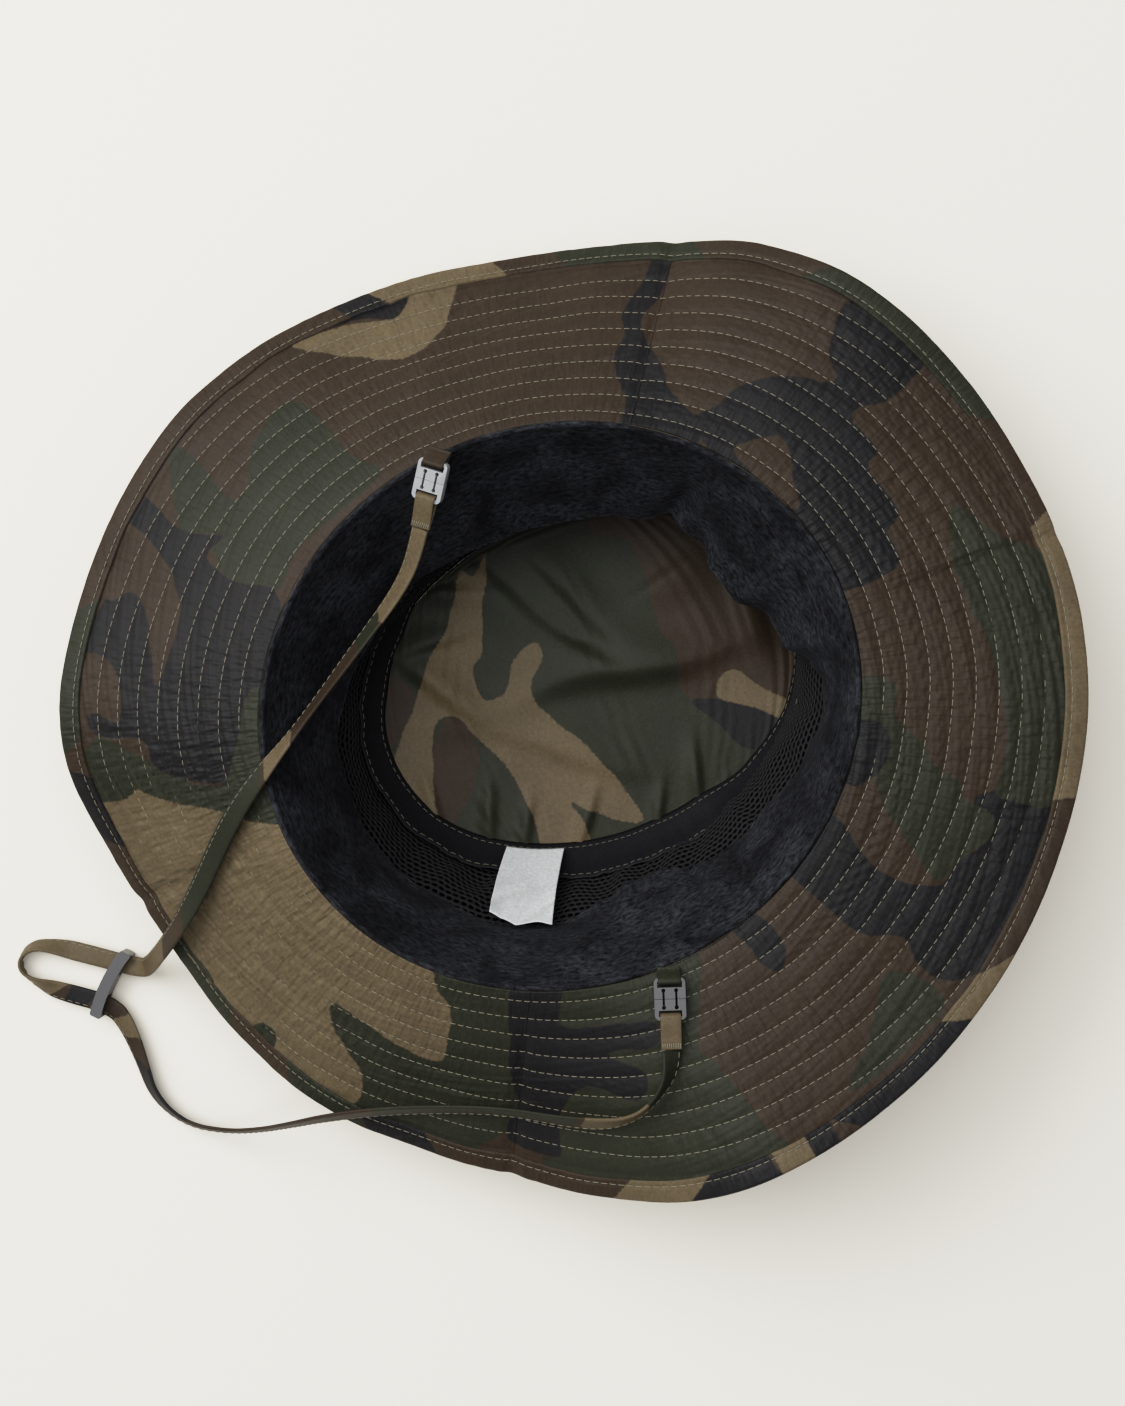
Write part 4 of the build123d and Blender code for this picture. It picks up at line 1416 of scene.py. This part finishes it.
# ------------------------------------------------------------------ clips, loops, slider
CLIP_LENGTH = 14.0
CLIP_THICKNESS = 2.8
CLIP_BAR = 1.3
TAB_LENGTH = 10.3
TAB_WIDTH = 7.6
END_LENGTH = 16.5
END_WIDTH = 6.8
LOOP_THICKNESS = 0.62
SEAM_REST = 1.15
# Azimuth of each tab, heading, slope, lift off the seam and roll, as in the CAD.
CLIP_PLACES = {
    "right": (358.6, -22.0, 5.0, 3.2, 0.0),
    "left": (181.6, -38.0, -18.0, 4.6, 14.0),
}
# Print of each tab: colour, start, end and slant in mm.
TAB_BANDS = {"right": [(GREEN, -5, 60, 0)], "left": [(GREEN, 8, 60, 0)]}
END_BANDS = [(TAN, -5, 60, 0)]


def clip_axes(place):
    """Joint of a clip, with its directions along, across and up."""
    azimuth, heading, slope, lift, roll = place
    seam = polar_place(*OPENING_CENTRE, opening_radius(azimuth), azimuth, CROWN_DEPTH + lift)
    head, climb, tilt = (math.radians(a) for a in (heading, slope, roll))
    along = np.array([math.cos(head) * math.cos(climb), math.sin(head) * math.cos(climb),
                      math.sin(climb)])
    up = np.array([-math.cos(head) * math.sin(climb), -math.sin(head) * math.sin(climb),
                   math.cos(climb)])
    up = up * math.cos(tilt) + np.cross(along, up) * math.sin(tilt)
    return seam + along * TAB_LENGTH, along, np.cross(up, along), up


def loop_tape(name, axes, side, reach, end_height, width, body, node, bands):
    """Sewn loop: one tape that runs over the clip's bar, round it and back to its seam.

    The path is a hairpin: its two legs close from the bar's height to the sewn end.
    """
    origin, along, across, up = axes
    bar = CLIP_LENGTH / 2 - CLIP_BAR
    rise, half_gap, bend_reach = CLIP_THICKNESS / 2 + 0.65, 0.36, 0.9
    bend = np.radians(np.linspace(90, 270, 17))
    leg = np.linspace(0, 1, 14)
    parted = 1 - np.cos(leg * np.pi / 2) ** 2
    far = reach - (reach - bar) * (1 - leg[::-1])
    upper_up = end_height + half_gap + (rise - end_height - half_gap) * parted
    lower_up = end_height - half_gap - (rise + end_height - half_gap) * parted
    path_along = np.concatenate([far[:-1], bar + bend_reach * np.cos(bend), far[::-1][1:]])
    path_up = np.concatenate([upper_up[:-1], rise * np.sin(bend), lower_up[::-1][1:]])
    line = origin + side * path_along[:, None] * along + path_up[:, None] * up
    run = run_along(line)
    line = at_run(np.linspace(0, 1, 90) * run[-1], run, line)
    for k in range(3):
        line[2:-2, k] = np.convolve(line[:, k], np.ones(5) / 5, mode="valid")
    flat = np.tile(across, (len(line), 1))
    normal = np.cross(unit(np.gradient(line, axis=0)), flat)
    piece = tape_along(name, line, flat, normal, width, LOOP_THICKNESS, False,
                       lambda run, out: banded(run + 0.3 * out, 0.0, bands))
    piece.data.materials.append(flat_cotton)
    count = np.arange(9)[:, None]
    spots = origin + side * (reach - 1.2 - 0.12 * (count % 2)) * along
    spots = spots + across * (count - 4) * width / 9.5 + up * (end_height + 0.78)
    reach_out = side * along * 0.8
    tack = stitches(f"{name}_tack", spots - reach_out, spots + reach_out,
                    np.tile(up, (9, 1)), radius=0.14)
    settle(tack, "hat", "camo_tape", thread)
    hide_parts(node)
    if body == "hat":
        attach(piece, "hat")
    else:
        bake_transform(piece)


def moulded_copy(name, node, body, slot, material, edge):
    """The CAD node's shape with its edges rounded, as it leaves the mould."""
    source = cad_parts[node]
    shape = bmesh.new()
    shape.from_mesh(source.data)
    bmesh.ops.remove_doubles(shape, verts=shape.verts, dist=1e-6)
    bmesh.ops.dissolve_limit(shape, angle_limit=math.radians(1.0), verts=shape.verts,
                             edges=shape.edges)
    mesh = bpy.data.meshes.new(name)
    shape.to_mesh(mesh)
    shape.free()
    piece = placed(name, mesh)
    rounding = piece.modifiers.new("rounding", "BEVEL")
    rounding.width = edge * MM
    rounding.segments = 2
    rounding.limit_method = "ANGLE"
    rounding.angle_limit = math.radians(35)
    settle(piece, body, slot, material, node)


for ear, place in CLIP_PLACES.items():
    axes = clip_axes(place)
    lower_body = f"{ear}_clip_half"
    # The left clip takes the paler grey: a painted reflection on the same acetal as the right
    # clip.
    finish = painted_reflection_acetal if ear == "left" else grey_acetal
    for half, body in (("upper", "hat"), ("lower", lower_body)):
        moulded_copy(f"clip_{ear}_{half}_half", f"clip_{half}_{ear}", body, "grey_acetal",
                     finish, 0.22)
    loop_tape(f"strap_tab_{ear}_tape", axes, -1, TAB_LENGTH, SEAM_REST - place[3],
              TAB_WIDTH, "hat", f"strap_tab_{ear}", TAB_BANDS[ear])
    loop_tape(f"strap_end_{ear}_tape", axes, 1, END_LENGTH, 0.0, END_WIDTH, lower_body,
              f"strap_end_{ear}", END_BANDS)

moulded_copy("slider_bar", "slider", "slider", "dark_acetal", dark_acetal, 0.5)
hang_strap()

# ------------------------------------------------------------------ light and floor
FLOOR_COLOUR = "EFE9DC"
FLOOR_HALF = 3.0
TONE_WHITE = 2.0
# Light that reaches the film, and how bright it is shown.
TONE_POINTS = ((0.02, 0.014), (0.05, 0.042), (0.1, 0.095), (0.2, 0.215), (0.4, 0.45),
               (0.7, 0.68), (1.0, 0.79), (1.5, 0.875))
BRIGHTEST_SHOWN = 0.91


def lay_floor():
    """Plain pale sheet of paper under the hat."""
    floor = placed("floor", square_mesh("floor", FLOOR_HALF, 0.0))
    material, tree = new_material("matt_paper")
    set_shader(tree, Base_Color=linear(FLOOR_COLOUR), Roughness=0.9, Specular_IOR_Level=0.1)
    floor.data.materials.append(material)


def add_light(name, place, target, size, power, colour):
    """Square soft light that faces a point."""
    data = bpy.data.lights.new(name, "AREA")
    data.size = size
    data.energy = power
    data.color = linear(colour)[:3]
    light = placed(name, data)
    light.location = place
    aim = Vector(target) - Vector(place)
    light.rotation_euler = aim.to_track_quat("-Z", "Y").to_euler()


def light_room():
    """Even pale light from all round."""
    world = bpy.data.worlds.new("room")
    world.use_nodes = True
    sky = world.node_tree.nodes["Background"].inputs
    sky["Color"].default_value = linear("F4F5F7")
    sky["Strength"].default_value = 0.28
    bpy.context.scene.world = world


def set_tone():
    """Film-like tone: open shadows, straight mid-tones and a long soft shoulder."""
    view = bpy.context.scene.view_settings
    view.view_transform = "Standard"
    view.use_curve_mapping = True
    mapping = view.curve_mapping
    mapping.white_level = (TONE_WHITE, TONE_WHITE, TONE_WHITE)
    curve = mapping.curves[3]
    for level, shown in TONE_POINTS:
        curve.points.new(level / TONE_WHITE, shown)
    curve.points[0].location = (0.0, 0.0)
    curve.points[-1].location = (1.0, BRIGHTEST_SHOWN)
    mapping.update()


lay_floor()
add_light("window", (-0.98, -0.80, 1.22), (0, 0, 0.05), 1.2, 21.0, "FFFDF8")
add_light("ceiling", (-0.6, -0.2, 2.15), (-0.05, 0, 0), 2.5, 55.0, "FFFFFF")
light_room()
set_tone()
